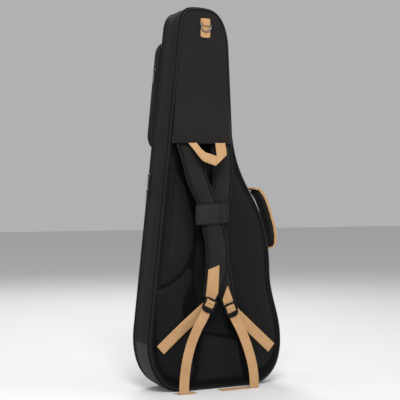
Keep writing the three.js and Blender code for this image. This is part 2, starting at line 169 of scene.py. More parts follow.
def shifted(points, d, y, closed=True):
    """The path moved outwards by d and put at depth y, as 3-D points."""
    moved = points + outward(points, closed) * np.reshape(d, (-1, 1))
    return np.stack([moved[:, 0], np.full(len(moved), y), moved[:, 1]], axis=1)


def side_of(points, z, side):
    """The x of the left (-1) or right (1) side of an outline at height z."""
    after = np.roll(points, -1, axis=0)
    hit = (points[:, 1] - z) * (after[:, 1] - z) <= 0
    a, b = points[hit], after[hit]
    x = a[:, 0] + (b[:, 0] - a[:, 0]) * (z - a[:, 1]) / (b[:, 1] - a[:, 1] + 1e-9)
    return x.min() if side < 0 else x.max()


def ease(value, low, high):
    """0 below low, 1 above high, and a smooth step between."""
    t = np.clip((np.asarray(value, float) - low) / (high - low), 0, 1)
    return t * t * (3 - 2 * t)


def ripple(point, size, seed):
    """Smooth noise from about -1 to 1 with waves of the given size in millimetres."""
    return noise.noise(Vector(point) / size + Vector((seed, 0, 0)))


def ripples(x, z, size, seed):
    """The same noise at many points of the plane y = 0."""
    return np.array([ripple((a, 0, b), size, seed) for a, b in zip(x, z)])


def level(x, z, d):
    """The height of a panel that stays flat."""
    return 0 * d


OUTLINE = smooth(loop_of("back_shell", BACK_FACE), closed=True)


def stretch(keep):
    """The longest run of the outline whose points pass keep(x, z), in order."""
    passes = np.array([keep(x, z) for x, z in OUTLINE])
    first = int(np.argmin(passes))
    order = np.roll(np.arange(len(OUTLINE)), -first)
    runs, run = [], []
    for i in [*order, order[0]]:
        if passes[i]:
            run.append(i)
        else:
            runs.append(run)
            run = []
    return OUTLINE[max(runs, key=len)]


HINGE_LOW, HINGE_HIGH = 128, 404                # heights between which the right side isn't zipped
HINGE_MIDDLE = (206, 267)


def on_hinge(x, z):
    """True on the lower right side, which isn't zipped."""
    return x > 0 and HINGE_LOW < z < HINGE_HIGH


ZIPPED = stretch(lambda x, z: not on_hinge(x, z))
HINGED = stretch(on_hinge)


# ---------------------------------------------------------------- shapes
class Shape:
    """Points and face-corner UVs in millimetres, faces, and a look number for each face."""

    def __init__(self):
        self.points, self.faces, self.uvs, self.looks = [], [], [], []

    def add(self, points, faces, uvs, looks):
        """Adds a part of the shape."""
        base = len(self.points)
        self.points.extend(map(tuple, points))
        self.faces.extend(tuple(base + i for i in face) for face in faces)
        self.uvs.extend(uvs)
        self.looks.extend(looks)
        return self


def loft(shape, rings, closed=True, looped=False, caps=True, look=0):
    """A skin through rings of points. look is a number, or a function of the row and the column."""
    rings = np.asarray(rings, float)
    rows, count = rings.shape[:2]
    across = np.linalg.norm(np.roll(rings, -1, axis=1) - rings, axis=2).mean(axis=0)
    along = np.linalg.norm(np.roll(rings, -1, axis=0) - rings, axis=2).mean(axis=1)
    u = np.concatenate([[0], np.cumsum(across)])
    v = np.concatenate([[0], np.cumsum(along)])
    faces, uvs, looks = [], [], []
    for i in range(rows if looped else rows - 1):
        a, b = i * count, (i + 1) % rows * count
        for j in range(count if closed else count - 1):
            k = (j + 1) % count
            faces.append((a + j, a + k, b + k, b + j))
            uvs.append(((u[j], v[i]), (u[j + 1], v[i]), (u[j + 1], v[i + 1]), (u[j], v[i + 1])))
            looks.append(look(i, j) if callable(look) else look)
    if caps and not looped:
        for row in (0, rows - 1):
            faces.append(tuple(row * count + j for j in range(count)))
            uvs.append(tuple((u[j], v[row]) for j in range(count)))
            looks.append(look(0, 0) if callable(look) else look)
    return shape.add(rings.reshape(-1, 3), faces, uvs, looks)


def around(shape, points, profile, closed=True, look=0):
    """A skin along a path in x and z, whose section is a list of (distance outwards, depth y).

    Round a closed path it stays open along the section's two ends; on an open path it is a capped solid.
    """
    rings = [shifted(points, d, y, closed) for d, y in profile]
    if closed:
        return loft(shape, rings, caps=False, look=look)
    return loft(shape, np.swapaxes(np.array(rings), 0, 1), look=look)


def round_cord(shape, points, d, y, radius, sides, look=0):
    """A round cord along a closed path in x and z, d outside it at depth y."""
    path, way = shifted(points, d, y), normals(points)
    rings = [path + way * s + np.array([0, o, 0]) for s, o in circle(radius, sides)]
    return loft(shape, rings, looped=True, look=look)


def ways(points, side):
    """Unit vectors along, across and out of a flat strip at each point; side is roughly across it."""
    tangent = unit(np.gradient(points, axis=0))
    side = np.broadcast_to(np.asarray(side, float), points.shape)
    side = unit(side - tangent * (side * tangent).sum(axis=1)[:, None])
    return tangent, side, np.cross(tangent, side)


def sweep(shape, points, side, section, look=0):
    """A section of (across, out) offsets carried along a path. section is one list, or one for each point."""
    points = np.asarray(points, float)
    _, across, out = ways(points, side)
    section = np.asarray(section, float)
    if section.ndim == 2:
        section = np.broadcast_to(section, (len(points),) + section.shape)
    rings = points[:, None] + section[..., :1] * across[:, None] + section[..., 1:] * out[:, None]
    return loft(shape, rings, look=look)


def circle(radius, sides=8):
    """A round section."""
    turn = np.arange(sides) * 2 * math.pi / sides
    return radius * np.stack([np.cos(turn), np.sin(turn)], axis=1)


def squircle(sides, start, wide, thick, p, q):
    """A section between an oval and a box, from half its width and thickness; smaller powers are squarer."""
    turn = np.arange(sides) * 2 * math.pi / sides + start
    c, s = np.cos(turn), np.sin(turn)
    return np.stack([np.sign(c) * np.abs(c) ** p * wide, np.sign(s) * np.abs(s) ** q * thick], axis=1)


def strip_section(width, thick):
    """A webbing's section: flat, with rounded edges."""
    half, edge = width / 2, thick / 2
    across = [half, half - 0.5, half - 1.4, half / 2, 0, -half / 2, 1.4 - half, 0.5 - half, -half]
    out = [0, 0.8 * edge, edge, edge, edge, edge, edge, 0.8 * edge, 0]
    return list(zip(across, out)) + [(s, -o) for s, o in zip(across[-2:0:-1], out[-2:0:-1])]


def ribbon(shape, points, side, width=WEBBING, thick=WEBBING_THICK, slant=0.0, step=4.0, look=0):
    """Webbing along a path. slant moves the right end of its first edge forward, for a cut on the skew."""
    path = smooth(points, step)
    share = np.linspace(0, 1, len(path))
    if callable(side):
        side = np.array([side(t) for t in share])
    widths = np.array([width(t) for t in share]) if callable(width) else np.full(len(path), width)
    section = np.array([strip_section(w, thick) for w in widths])
    tangent, across, out = ways(path, side)
    rings = path[:, None] + section[..., :1] * across[:, None] + section[..., 1:] * out[:, None]
    rings[0] += tangent[0] * slant * section[0][:, :1] / widths[0]
    loft(shape, rings, look=look)
    return path, across, out


def bar(shape, a, b, side, wide, thick, look=0, ends=0.45):
    """A short moulded bar from a to b with rounded edges and ends."""
    a, b = np.asarray(a, float), np.asarray(b, float)
    share = np.array([0, 0.04, 0.12, 0.5, 0.88, 0.96, 1.0])
    scale = np.array([ends, 0.8, 1, 1, 1, 0.8, ends])
    section = squircle(12, math.pi / 12, wide / 2, thick / 2, 0.5, 0.5)
    return sweep(shape, a + (b - a) * share[:, None], side, section * scale[:, None, None], look=look)


def stitches(shape, path, out, pitch=4.2, look=0, size=0.45):
    """A row of thread stitches along a path, standing a little out of the cloth."""
    path = np.asarray(path, float)
    lengths = np.concatenate([[0], np.cumsum(np.linalg.norm(np.diff(path, axis=0), axis=1))])
    out = np.broadcast_to(np.asarray(out, float), path.shape)
    at = np.arange(pitch / 2, lengths[-1], pitch)

    def sample(values, where):
        return np.stack([np.interp(where, lengths, values[:, k]) for k in range(3)], axis=1)

    centre = sample(path, at)
    up = unit(sample(out, at))
    ahead = sample(path, at + 0.5) - centre
    ahead = unit(np.where(np.linalg.norm(ahead, axis=1)[:, None] > 1e-6, ahead, path[-1] - path[-2]))
    across = np.cross(up, ahead)
    half = pitch * 0.36
    for c, u, t, s in zip(centre, up, ahead, across):
        ring = [c + s * size, c + u * size, c - s * size, c - u * size]
        tips = [c - t * half - u * size, c + t * half - u * size]
        faces = [(4, j, (j + 1) % 4) for j in range(4)] + [(5, (j + 1) % 4, j) for j in range(4)]
        shape.add(ring + tips, faces, [((0, 0), (1, 0), (0, 1))] * 8, [look] * 8)
    return shape


def inside(points, loop):
    """Which points lie inside a closed loop."""
    x, z = points[:, :1], points[:, 1:]
    a, b = loop, np.roll(loop, -1, axis=0)
    cross = (a[:, 1] > z) != (b[:, 1] > z)
    where = a[:, 0] + (z - a[:, 1]) / (b[:, 1] - a[:, 1] + 1e-12) * (b[:, 0] - a[:, 0])
    return (cross & (x < where)).sum(axis=1) % 2 == 1


def depth_in(points, loop):
    """Distance of each point to a closed loop."""
    a, b = loop, np.roll(loop, -1, axis=0)
    run = b - a
    best = np.full(len(points), np.inf)
    for start, way in zip(a, run):
        t = np.clip((points - start) @ way / (way @ way + 1e-12), 0, 1)
        best = np.minimum(best, np.linalg.norm(points - start - t[:, None] * way, axis=1))
    return best


ROW_GAP = 0.87                 # distance between rows of near-regular triangles, for sides of 1


def field(loop, step):
    """Triangles that fill a loop: points in x and z, with the loop's own first, and faces."""
    low, high = loop.min(axis=0), loop.max(axis=0)
    rows = np.arange(low[1], high[1], step * ROW_GAP)
    grid = [(x + (i % 2) * step / 2, z) for i, z in enumerate(rows) for x in np.arange(low[0], high[0], step)]
    grid = np.array(grid)
    grid = grid[inside(grid, loop)]
    grid = grid[depth_in(grid, loop) > step * 0.5]
    every = np.concatenate([loop, grid])
    ring = list(range(len(loop)))
    points, _, faces, *_ = delaunay_2d_cdt([Vector(p) for p in every], [], [ring], 1, 1e-5)
    return np.array([tuple(p) for p in points]), [tuple(f) for f in faces]


def panel(shape, loop, base, height, step=5.0, facing=-1, under=None, look=0, closed=True):
    """A puffed panel that fills a loop at depth base and stands out by height(x, z, depth from the edge).

    With under, which works like height, it is a sheet with that underside; otherwise it is flat behind.
    look is a number, or a function of x, z and the depth from the edge.
    """
    flat, triangles = field(loop, step)
    depth = depth_in(flat, loop)
    rise = height(flat[:, 0], flat[:, 1], depth)
    top = np.stack([flat[:, 0], base + facing * rise, flat[:, 1]], axis=1)
    uv = [tuple(p) for p in flat]
    edge = len(loop)
    middle = [flat[list(f)].mean(axis=0) for f in triangles]
    inner = [depth[list(f)].mean() for f in triangles]
    looks = [look(m[0], m[1], d) if callable(look) else look for m, d in zip(middle, inner)]
    first = look(*middle[0], 0.0) if callable(look) else look
    corners = [tuple(uv[i] for i in f) for f in triangles]
    front = len(shape.points)
    shape.add(top, triangles, corners, looks)
    if not closed:
        return flat, depth
    if under is None:
        low = np.stack([loop[:, 0], np.full(edge, base), loop[:, 1]], axis=1)
        walls_to = [tuple(range(edge))]
    else:
        fall = under(flat[:, 0], flat[:, 1], depth)
        low = np.stack([flat[:, 0], base + facing * fall, flat[:, 1]], axis=1)
        walls_to = triangles
    back = len(shape.points)
    shape.add(low, walls_to, [tuple(uv[i] for i in f) for f in walls_to], [first] * len(walls_to))
    for j in range(edge):
        k = (j + 1) % edge
        shape.faces.append((front + j, front + k, back + k, back + j))
        shape.uvs.append((uv[j], uv[k], uv[k], uv[j]))
        shape.looks.append(first)
    return flat, depth


def tape(shape, outline, lay, thick=WEBBING_THICK, step=4.0, look=0):
    """A flat tape cut to an outline in x and z, lying on the surface y = lay(x, z)."""

    def front(x, z, d):
        return thick * (0.1 + 0.4 * ease(d, 0, 1)) - lay(x, z)

    def behind(x, z, d):
        return -lay(x, z) - thick / 2

    panel(shape, smooth(outline, step, True, 15.0), 0.0, front, step, under=behind, look=look)
    return shape


def tape_seam(shape, line, inset, lay, look, thick=WEBBING_THICK, pitch=3.2):
    """A row of stitches beside one edge of a flat tape, on its near side."""
    line = smooth(line, 4.0, corner=15.0)
    line = (line + outward(line, False) * -inset)[1:-1]
    y = lay(line[:, 0], line[:, 1]) - thick / 2
    stitches(shape, np.stack([line[:, 0], y, line[:, 1]], axis=1), (0, -1, 0), pitch, look)


# ---------------------------------------------------------------- looks
def colour(code):
    """A hex colour as linear RGBA."""
    parts = [int(code[i:i + 2], 16) / 255 for i in (1, 3, 5)]
    return tuple(c / 12.92 if c < 0.04045 else ((c + 0.055) / 1.055) ** 2.4 for c in parts) + (1.0,)


class Look:
    """A material under construction."""

    def __init__(self, name, roughness, metallic=0.0, sheen=0.0, specular=0.12):
        self.material = bpy.data.materials.new(name)
        self.material.use_nodes = True
        self.tree = self.material.node_tree
        self.shader = self.tree.nodes["Principled BSDF"]
        self.shader.inputs["Roughness"].default_value = roughness
        self.shader.inputs["Metallic"].default_value = metallic
        self.shader.inputs["Specular IOR Level"].default_value = specular
        self.shader.inputs["Sheen Weight"].default_value = sheen
        self.shader.inputs["Sheen Roughness"].default_value = 0.6
        place = self.node("UVMap", uv_map="cloth")
        self.u, self.v = (self.node("SeparateXYZ", place, output=k) for k in (0, 1))
        self.place = self.node("TexCoord", output=3)

    def node(self, kind, *inputs, output=0, **settings):
        """Adds a node, sets or links its inputs in order, and returns an output."""
        made = self.tree.nodes.new("ShaderNode" + kind)
        for key, value in settings.items():
            setattr(made, key, value)
        for socket, value in zip(made.inputs, inputs):
            self.feed(socket, value)
        return made.outputs[output]

    def feed(self, socket, value):
        """Links or sets one input."""
        if isinstance(value, bpy.types.NodeSocket):
            self.tree.links.new(value, socket)
        elif value is not None:
            socket.default_value = value

    def math(self, operation, *values):
        """A sum on one or two numbers."""
        return self.node("Math", *values, operation=operation)

    def wave(self, value, pitch):
        """A sine from -1 to 1 along a coordinate in millimetres."""
        return self.math("SINE", self.math("MULTIPLY", value, 2 * math.pi / pitch))

    def rib(self, value, pitch):
        """A sine from 0 to 1 along a coordinate in millimetres."""
        return self.math("MULTIPLY_ADD", self.wave(value, pitch), 0.5, 0.5)

    def total(self, a, share_a, b, share_b):
        """A weighted sum of two numbers."""
        return self.math("ADD", self.math("MULTIPLY", a, share_a), self.math("MULTIPLY", b, share_b))

    def clouded(self, base, scale, detail, low, high, share, tone):
        """The colour with soft patches, where it is share of the way to a tone."""
        patch = self.ramp(self.noise(scale, detail), low, high)
        return self.mix(patch, base, self.mix(share, base, colour(tone)))

    def noise(self, scale, detail=3.0):
        """Noise from 0 to 1 in the object's own space, with scale in waves to the metre."""
        return self.node("TexNoise", self.place, None, scale, detail)

    def mix(self, share, a, b, blend="MIX"):
        """A mix of two colours."""
        made = self.tree.nodes.new("ShaderNodeMix")
        made.data_type = "RGBA"
        made.blend_type = blend
        for place, value in ((0, share), (6, a), (7, b)):
            self.feed(made.inputs[place], value)
        return made.outputs[2]

    def ramp(self, value, low, high):
        """Spreads low..high to 0..1 with a soft step."""
        return self.node("MapRange", value, low, high, 0.0, 1.0, interpolation_type="SMOOTHSTEP")

    def finish(self, base, height, strength, distance, rough=None):
        """Connects the colour, the bump and, if given, a roughness that varies."""
        bump = self.tree.nodes.new("ShaderNodeBump")
        bump.inputs["Strength"].default_value = strength
        bump.inputs["Distance"].default_value = distance * MM
        self.feed(bump.inputs["Height"], height)
        self.feed(self.shader.inputs["Normal"], bump.outputs[0])
        self.feed(self.shader.inputs["Base Color"], base)
        if rough is not None:
            self.feed(self.shader.inputs["Roughness"], rough)
        return self.material


def woven(name, dark, light, pitch=1.5, roughness=0.85, specular=0.12):
    """Plain-woven bag cloth: a fine over-and-under weave, fuzzy grain and a slow change of tone."""
    look = Look(name, roughness, sheen=0.02, specular=specular)
    weave = look.math("MULTIPLY", look.wave(look.u, pitch), look.wave(look.v, pitch))
    weave = look.math("MULTIPLY_ADD", weave, 0.5, 0.5)
    grain = look.noise(520.0, 2.0)
    mottle = look.noise(150.0, 3.0)
    tone = look.math("ADD", look.total(weave, 0.35, grain, 0.35), look.math("MULTIPLY", mottle, 0.45))
    base = look.mix(look.ramp(tone, 0.25, 0.95), colour(dark), colour(light))
    base = look.clouded(base, 9.0, 4.0, 0.3, 0.8, 0.35, light)
    rough = look.math("MULTIPLY_ADD", mottle, 0.14, roughness - 0.08)
    return look.finish(base, look.total(weave, 0.6, grain, 0.6), 0.5, 0.35, rough)


def air_mesh(name, dark, light, pitch=4.6):
    """Spacer mesh: a diamond lattice of threads over dark little holes."""
    look = Look(name, 0.8, sheen=0.02)
    sides = []
    for operation in ("ADD", "SUBTRACT"):
        way = look.math(operation, look.u, look.v)
        sides.append(look.math("ABSOLUTE", look.wave(way, 2 * pitch)))
    hole = look.ramp(look.math("MINIMUM", *sides), 0.25, 0.75)
    grain = look.noise(600.0, 2.0)
    thread = look.mix(grain, colour(light), look.mix(0.5, colour(dark), colour(light)))
    base = look.mix(hole, thread, colour(dark))
    base = look.clouded(base, 14.0, 3.0, 0.35, 0.75, 0.25, light)
    height = look.math("SUBTRACT", look.math("MULTIPLY", grain, 0.15), hole)
    return look.finish(base, height, 0.8, 0.9)


def webbing_look(name, dark, light):
    """Cotton webbing: a tight herringbone with ribs along its length and a few stained threads."""
    look = Look(name, 0.82, sheen=0.05)
    zigzag = look.math("PINGPONG", look.u, 3.0)
    twill = look.rib(look.math("ADD", look.v, zigzag), 2.2)
    grain = look.noise(700.0, 2.0)
    base = look.mix(look.total(twill, 0.45, grain, 0.4), colour(dark), colour(light))
    base = look.clouded(base, 22.0, 4.0, 0.35, 0.75, 0.4, dark)
    height = look.math("ADD", twill, look.math("MULTIPLY", look.rib(look.u, 3.0), 0.5))
    return look.finish(base, height, 0.55, 0.4)


def grosgrain(name, dark, light, pitch=1.8):
    """Ribbed binding tape: cross ribs along its length."""
    look = Look(name, 0.6, sheen=0.02)
    grain = look.noise(480.0, 2.0)
    height = look.math("ADD", look.rib(look.v, pitch), grain)
    base = look.mix(look.math("MULTIPLY", height, 0.5), colour(dark), colour(light))
    return look.finish(base, height, 0.5, 0.3, look.math("MULTIPLY_ADD", grain, 0.2, 0.5))


def plush(name, dark, light):
    """Short-pile lining."""
    look = Look(name, 0.95, sheen=0.3)
    pile = look.noise(420.0, 4.0)
    base = look.mix(pile, colour(dark), colour(light))
    base = look.clouded(base, 28.0, 3.0, 0.35, 0.7, 0.4, light)
    return look.finish(base, pile, 0.7, 0.8)


def moulded(name, dark, light, roughness):
    """Moulded plastic with a fine spark-eroded grain and soft patches that vary its tone and roughness."""
    look = Look(name, roughness, specular=0.16)
    grain = look.noise(900.0, 2.0)
    smear = look.noise(60.0, 3.0)
    base = look.mix(smear, colour(dark), colour(light))
    rough = look.math("MULTIPLY_ADD", smear, 0.2, roughness - 0.1)
    return look.finish(base, grain, 0.25, 0.12, rough)


def plated(name, dark, light):
    """Nickel-plated metal with faint brushing and dull patches."""
    look = Look(name, 0.3, metallic=1.0, specular=0.5)
    smear = look.noise(140.0, 4.0)
    fine = look.noise(1500.0, 2.0)
    base = look.mix(smear, colour(dark), colour(light))
    rough = look.math("MULTIPLY_ADD", smear, 0.25, 0.18)
    return look.finish(base, fine, 0.15, 0.05, rough)


SHELL = woven("shell_cloth", "#080808", "#161617")
# Darker, less glossy cloth for the back face: painted shade for the recessed channels between the pads.
SHADED_CHANNEL = woven("channel_cloth_painted_shade", "#030304", "#0b0b0c", specular=0.06)
PANEL = woven("panel_cloth", "#110f0f", "#242221", pitch=1.8)
PAD = woven("pad_cloth", "#0a0a0a", "#181818", pitch=1.8)
# Darker cloth for the strap borders: partly painted shade of the strap's sloping sides.
BORDER = woven("border_cloth_part_shade", "#09090a", "#161617", pitch=1.3)
STRAP = woven("strap_cloth", "#131312", "#262624", pitch=1.6)
WRAP = woven("wrap_cloth", "#1a181a", "#312e30", pitch=1.9)
MESH = air_mesh("air_mesh", "#020202", "#262627", pitch=5.4)
# A darker copy of the air mesh for the spine channel: painted shade of the recess under the straps.
SHADED_SPINE_MESH = air_mesh("spine_mesh_painted_shade", "#020202", "#161617", pitch=5.4)
BINDING = grosgrain("binding_tape", "#111113", "#29292b")
EDGE = grosgrain("edge_tape", "#121213", "#27272a")
TAPE = grosgrain("zip_tape_cloth", "#09090a", "#161618")
TEETH = moulded("zip_teeth", "#0c0c0d", "#1c1c1e", 0.4)
LINING = plush("plush_lining", "#2e2e33", "#4a4a51")
FOAM = plush("foam_cover", "#28282c", "#424248")
TAN = webbing_look("tan_webbing", "#a47b52", "#d8b083")
THREAD = grosgrain("thread", "#1c1c1e", "#3a3a3c", pitch=0.8)
TAN_THREAD = grosgrain("tan_thread", "#8a6236", "#c99b62", pitch=0.8)
PLASTIC = moulded("satin_plastic", "#030304", "#09090a", 0.42)
METAL = plated("nickel", "#5c5e61", "#9da0a3")
GUARD = moulded("guard_rubber", "#1b1c1d", "#323335", 0.62)


# ---------------------------------------------------------------- pieces
# The air in a cushion and in a strap: its pressure, and how far a point may move in millimetres.
PAD_AIR = (4.0, 3.0)
STRAP_AIR = (6.0, 2.5)
AIR_FRAMES = 20                # frames that the cloth takes to settle


def in_scene(name, data):
    """Puts an object with this data in the scene."""
    made = bpy.data.objects.new(name, data)
    bpy.context.scene.collection.objects.link(made)
    return made


def inflate(made, pinned, pressure, cap):
    """Swells a sewn cloth form with air; its pinned points are seams, and no point moves over cap mm."""
    mesh = made.data
    rest = np.empty(len(mesh.vertices) * 3)
    mesh.vertices.foreach_get("co", rest)
    seam = made.vertex_groups.new(name="seam")
    seam.add([int(i) for i in np.flatnonzero(pinned)], 1.0, "REPLACE")
    cloth = made.modifiers.new("air", "CLOTH")
    settings = cloth.settings
    settings.quality = 6
    settings.mass = 0.15
    settings.vertex_group_mass = "seam"
    settings.use_pressure = True
    settings.uniform_pressure_force = pressure
    settings.bending_stiffness = 0.6
    settings.effector_weights.gravity = 0
    cloth.collision_settings.use_collision = False
    scene = bpy.context.scene
    for number in range(1, AIR_FRAMES + 1):
        scene.frame_set(number)
    swollen = np.empty_like(rest)
    made.evaluated_get(bpy.context.evaluated_depsgraph_get()).data.vertices.foreach_get("co", swollen)
    move = (swollen - rest).reshape(-1, 3)
    length = np.linalg.norm(move, axis=1, keepdims=True)
    move *= np.minimum(1.0, cap * MM / np.maximum(length, 1e-9))
    made.modifiers.remove(cloth)
    made.vertex_groups.remove(seam)
    scene.frame_set(1)
    mesh.vertices.foreach_set("co", (rest.reshape(-1, 3) + move).ravel())
    mesh.update()


def piece(name, shape, body, looks, stands_for=(), blend=None, crease=42.0, air=None):
    """Makes a Blender object of a shape, swells it if air is given, hangs it on its body's empty (or, with
    blend, leaves it unparented in world space) and hides the CAD nodes it stands for.
    """
    points = np.array(shape.points, float)
    points[:, 2] = np.maximum(points[:, 2], FLOOR_GAP)
    mesh = bpy.data.meshes.new(name)
    mesh.from_pydata((points * MM).tolist(), [], shape.faces)
    layer = mesh.uv_layers.new(name="cloth")
    layer.data.foreach_set("uv", np.array([c for face in shape.uvs for c in face], float).ravel())
    for look in looks:
        mesh.materials.append(look)
    mesh.polygons.foreach_set("material_index", shape.looks)
    work = bmesh.new()
    work.from_mesh(mesh)
    bmesh.ops.recalc_face_normals(work, faces=work.faces)
    work.to_mesh(mesh)
    work.free()
    mesh.polygons.foreach_set("use_smooth", [True] * len(mesh.polygons))
    mesh.set_sharp_from_angle(angle=math.radians(crease))
    made = in_scene(name, mesh)
    if air:
        inflate(made, *air)
    if blend:
        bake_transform(made)
    else:
        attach(made, body)
    if stands_for:
        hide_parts(*stands_for)
    return made


def keep_node(node, look, round_off=0.4):
    """Keeps a CAD node, with rounded edges and a real material."""
    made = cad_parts[node]
    made.data.materials.clear()
    made.data.materials.append(look)
    bevel = made.modifiers.new("round", "BEVEL")
    bevel.width = round_off * MM
    bevel.segments = 3
    bevel.limit_method = "ANGLE"
    return made


# The gusset's section from the zipper to the back face: distance outside the outline, and depth.
GUSSET = [(-1.0, 31.9), (0.0, 31.2), (0.5, 29.5), (1.3, 27.5), (1.3, 25), (0.5, 23), (0.3, 22.2), (1.0, 21),
          (1.7, 15), (2.1, 5), (2.2, -8), (2.0, -22), (1.5, -32), (0.7, -39), (0.9, -41.5), (2.2, -43.5),
          (3.0, -46.5), (2.8, -49.5), (1.7, -52.3), (-0.2, -54.2), (-2.0, -54.6), (-3.6, -54.2),
          (-5.2, -53.6), (-7.2, -53.4), (-9.0, -54.3), (-12.0, BACK_FACE)]
WALL = 10.0                    # how far the padded wall reaches inwards


def wavy(points, profile, amount, size, seed):
    """Rings of a section round the outline, with the soft unevenness of padded cloth."""
    rings = np.array([shifted(points, d, y) for d, y in profile])
    way = normals(points)
    for ring, (_, y) in zip(rings, profile):
        share = float(ease(y, -52, -40) * (1 - ease(y, 16, 24)))
        for j, (x, z) in enumerate(points):
            ring[j] += way[j] * (amount * share * ripple((x, y * 1.5, z), size, seed))
    return rings


def back_tray():
    """The padded back and gusset: a rolled seam ridge round the back face, and the cavity inside."""
    shape = Shape()
    floor = BACK_FACE + WALL
    cavity = [shifted(OUTLINE, d, y) for d, y in ((-WALL, floor), (-WALL, 30.8), (-9.2, 31.7), (-5, 32))]
    loft(shape, [*cavity, *wavy(OUTLINE, GUSSET, 1.5, 55, 3)], caps=False)
    # The back face shows only in the channels between the pads, so it gets the darker cloth as painted shade.
    panel(shape, OUTLINE + outward(OUTLINE) * -12, BACK_FACE, level, COARSE, closed=False, look=1)
    panel(shape, OUTLINE + outward(OUTLINE) * -WALL, floor, level, COARSE, closed=False)
    piece("padded_back", shape, "bag", [SHELL, SHADED_CHANNEL], ["back_shell"])


def seam_ridge(name, z, side):
    """A raised seam straight across the gusset, with a row of stitches on each side."""
    shape = Shape()
    path = [(d + 0.5, y) for d, y in GUSSET if -42 < y < 24]
    for dz in (-2.6, 2.6):
        x = side_of(OUTLINE, z + dz, side)
        line = smooth([(x + side * d, y, z + dz) for d, y in path], 3.0)
        sweep(shape, line, (0, 0, 1), circle(1.3, 6))
    for dz in (-5.5, 5.5):
        x = side_of(OUTLINE, z + dz, side)
        line = smooth([(x + side * (d + 0.2), y, z + dz) for d, y in path], 3.0)
        stitches(shape, line, (side, 0, 0), look=1)
    piece(name, shape, "bag", [EDGE, THREAD])


def pipings():
    """Corded edges round the back face and round the lid, with their seam stitches."""
    for name, node, body, y, way in (("back_cord", "back_piping", "bag", BACK_FACE - 1.3, -1),
                                     ("lid_cord", "front_piping", "lid", LID_FRONT + 1.2, 1)):
        shape = round_cord(Shape(), OUTLINE, -3.4, y, 2.0, 10)
        stitches(shape, shifted(OUTLINE, -7.6, y + way * -0.6), (0, way, 0), look=1)
        piece(name, shape, body, [BINDING, THREAD], [node])


def gusset_stitching():
    """Twin needle rows beside the seam ridge and beside the zipper."""
    shape = Shape()
    for d, y in ((0.95, -40.4), (0.55, 22.2)):
        stitches(shape, shifted(OUTLINE, d + 0.3, y), normals(OUTLINE))
    piece("gusset_stitching", shape, "bag", [THREAD])


def main_zipper():
    """Two tapes and a run of interlocked teeth round the bag, and the cloth hinge on the lower right."""
    for name, node, body, y0, y1 in (("zip_tape_inner", "zipper_tape_back", "bag", BACK_RIM + 0.3, 36.4),
                                     ("zip_tape_outer", "zipper_tape_front", "lid", 38.6, LID_BACK - 0.3)):
        section = [(-3.0, y0), (-0.9, y0), (-0.1, y0 + 0.6), (-0.1, y1 - 0.6), (-0.6, y1), (-3.0, y1)]
        shape = around(Shape(), ZIPPED, section, False)
        line = shifted(ZIPPED, 0.15, (y0 + y1) / 2, False)
        stitches(shape, line, normals(ZIPPED, False), 3.4, 1, 0.35)
        piece(name, shape, body, [TAPE, THREAD], [node])
    piece("zip_teeth_main", teeth(ZIPPED, ZIP_MIDDLE, -1.0), "bag", [TEETH], ["zipper_coil"])
    section = [(-3.0, BACK_RIM + 0.2), (-0.8, BACK_RIM + 0.2), (0.3, 34.5), (0.9, ZIP_MIDDLE), (0.3, 40.5),
               (-0.8, LID_BACK - 0.2), (-3.0, LID_BACK - 0.2), (-2.6, ZIP_MIDDLE)]
    shape = around(Shape(), HINGED, section, False)
    x, z = HINGE_MIDDLE
    piece("cloth_hinge", shape, None, [SHELL], ["hinge_strip"],
          blend=("bag", "lid", (x, BACK_RIM + 0.5, z), (x, LID_BACK - 0.5, z)))


def teeth(path, y, d, pitch=2.7):
    """Zipper teeth along a path in x and z: a hooked block on each side by turns, over a core cord."""
    shape = Shape()
    line = smooth(path, pitch)
    core = [(d - 1.0, y - 0.9), (d + 0.5, y - 0.9), (d + 0.5, y + 0.9), (d - 1.0, y + 0.9)]
    around(shape, line, core, False)
    for i, n in list(enumerate(normals(line, False)))[1:-1]:
        way = 1 if i % 2 else -1
        t = np.array([-n[2], 0, n[0]])
        centre = np.array([line[i, 0], y + way * 0.75, line[i, 1]]) + n * (d + 0.5)
        bar(shape, centre + (0, 1.35, 0), centre - (0, 1.35, 0), t, pitch * 0.72, 1.5, ends=0.7)
    return shape


GUARD_STEP = 1.25              # spacing of points round a corner guard
GUARD_PITCH = 5.0              # distance between its ribs


def corner_guards():
    """Ribbed rubbery guards wrapped round the two bottom corners of the gusset."""
    for name, node, keep in (("guard_left", "corner_guard_left", lambda x, z: z < 134 and x < -92),
                             ("guard_right", "corner_guard_right", lambda x, z: x > 140 and z < 122)):
        line = smooth(stretch(keep), GUARD_STEP)
        at = np.arange(len(line))
        rib = 0.45 * np.abs(np.sin(at * GUARD_STEP * math.pi / GUARD_PITCH))
        edge = 0.7 * (ease(at, 0, 4) * ease(-at, 1 - len(line), 5 - len(line)))
        outer = [(d, y) for d, y in GUSSET if -50 < y < 30]
        rings = []
        for d, y in outer:
            plain_band = ease(y, -41, -44) if y < -41 else 0.0
            rings.append(shifted(line, d + 0.6 + edge + rib * (1 - plain_band), y, False))
        under = [shifted(line, d - 0.6, y, False) for d, y in outer[::-1]]
        shape = loft(Shape(), np.swapaxes(np.array(rings + under), 0, 1))
        piece(name, shape, "bag", [GUARD], [node])


# ---- the back
HEM_LIFT = 25.0                # how far the straps lift the upper panel's hem
LEG_LIFT = 6.0                 # how much farther the grab loop's two legs lift it


def hem_rise(x, z):
    """How far the upper panel stands off where the shoulder straps come out from under its hem."""
    over = ease(x, -127, -90) * (1 - ease(x, 46, 72))
    legs = ease(x, -98, -78) * (1 - ease(x, -60, -42)) + ease(x, -12, 8) * (1 - ease(x, 26, 44))
    lifted = HEM_LIFT * over * (1 - ease(z, HEM_Z + 6, HEM_Z + 150))
    return lifted + LEG_LIFT * legs * (1 - ease(z, HEM_Z + 4, HEM_Z + 60))


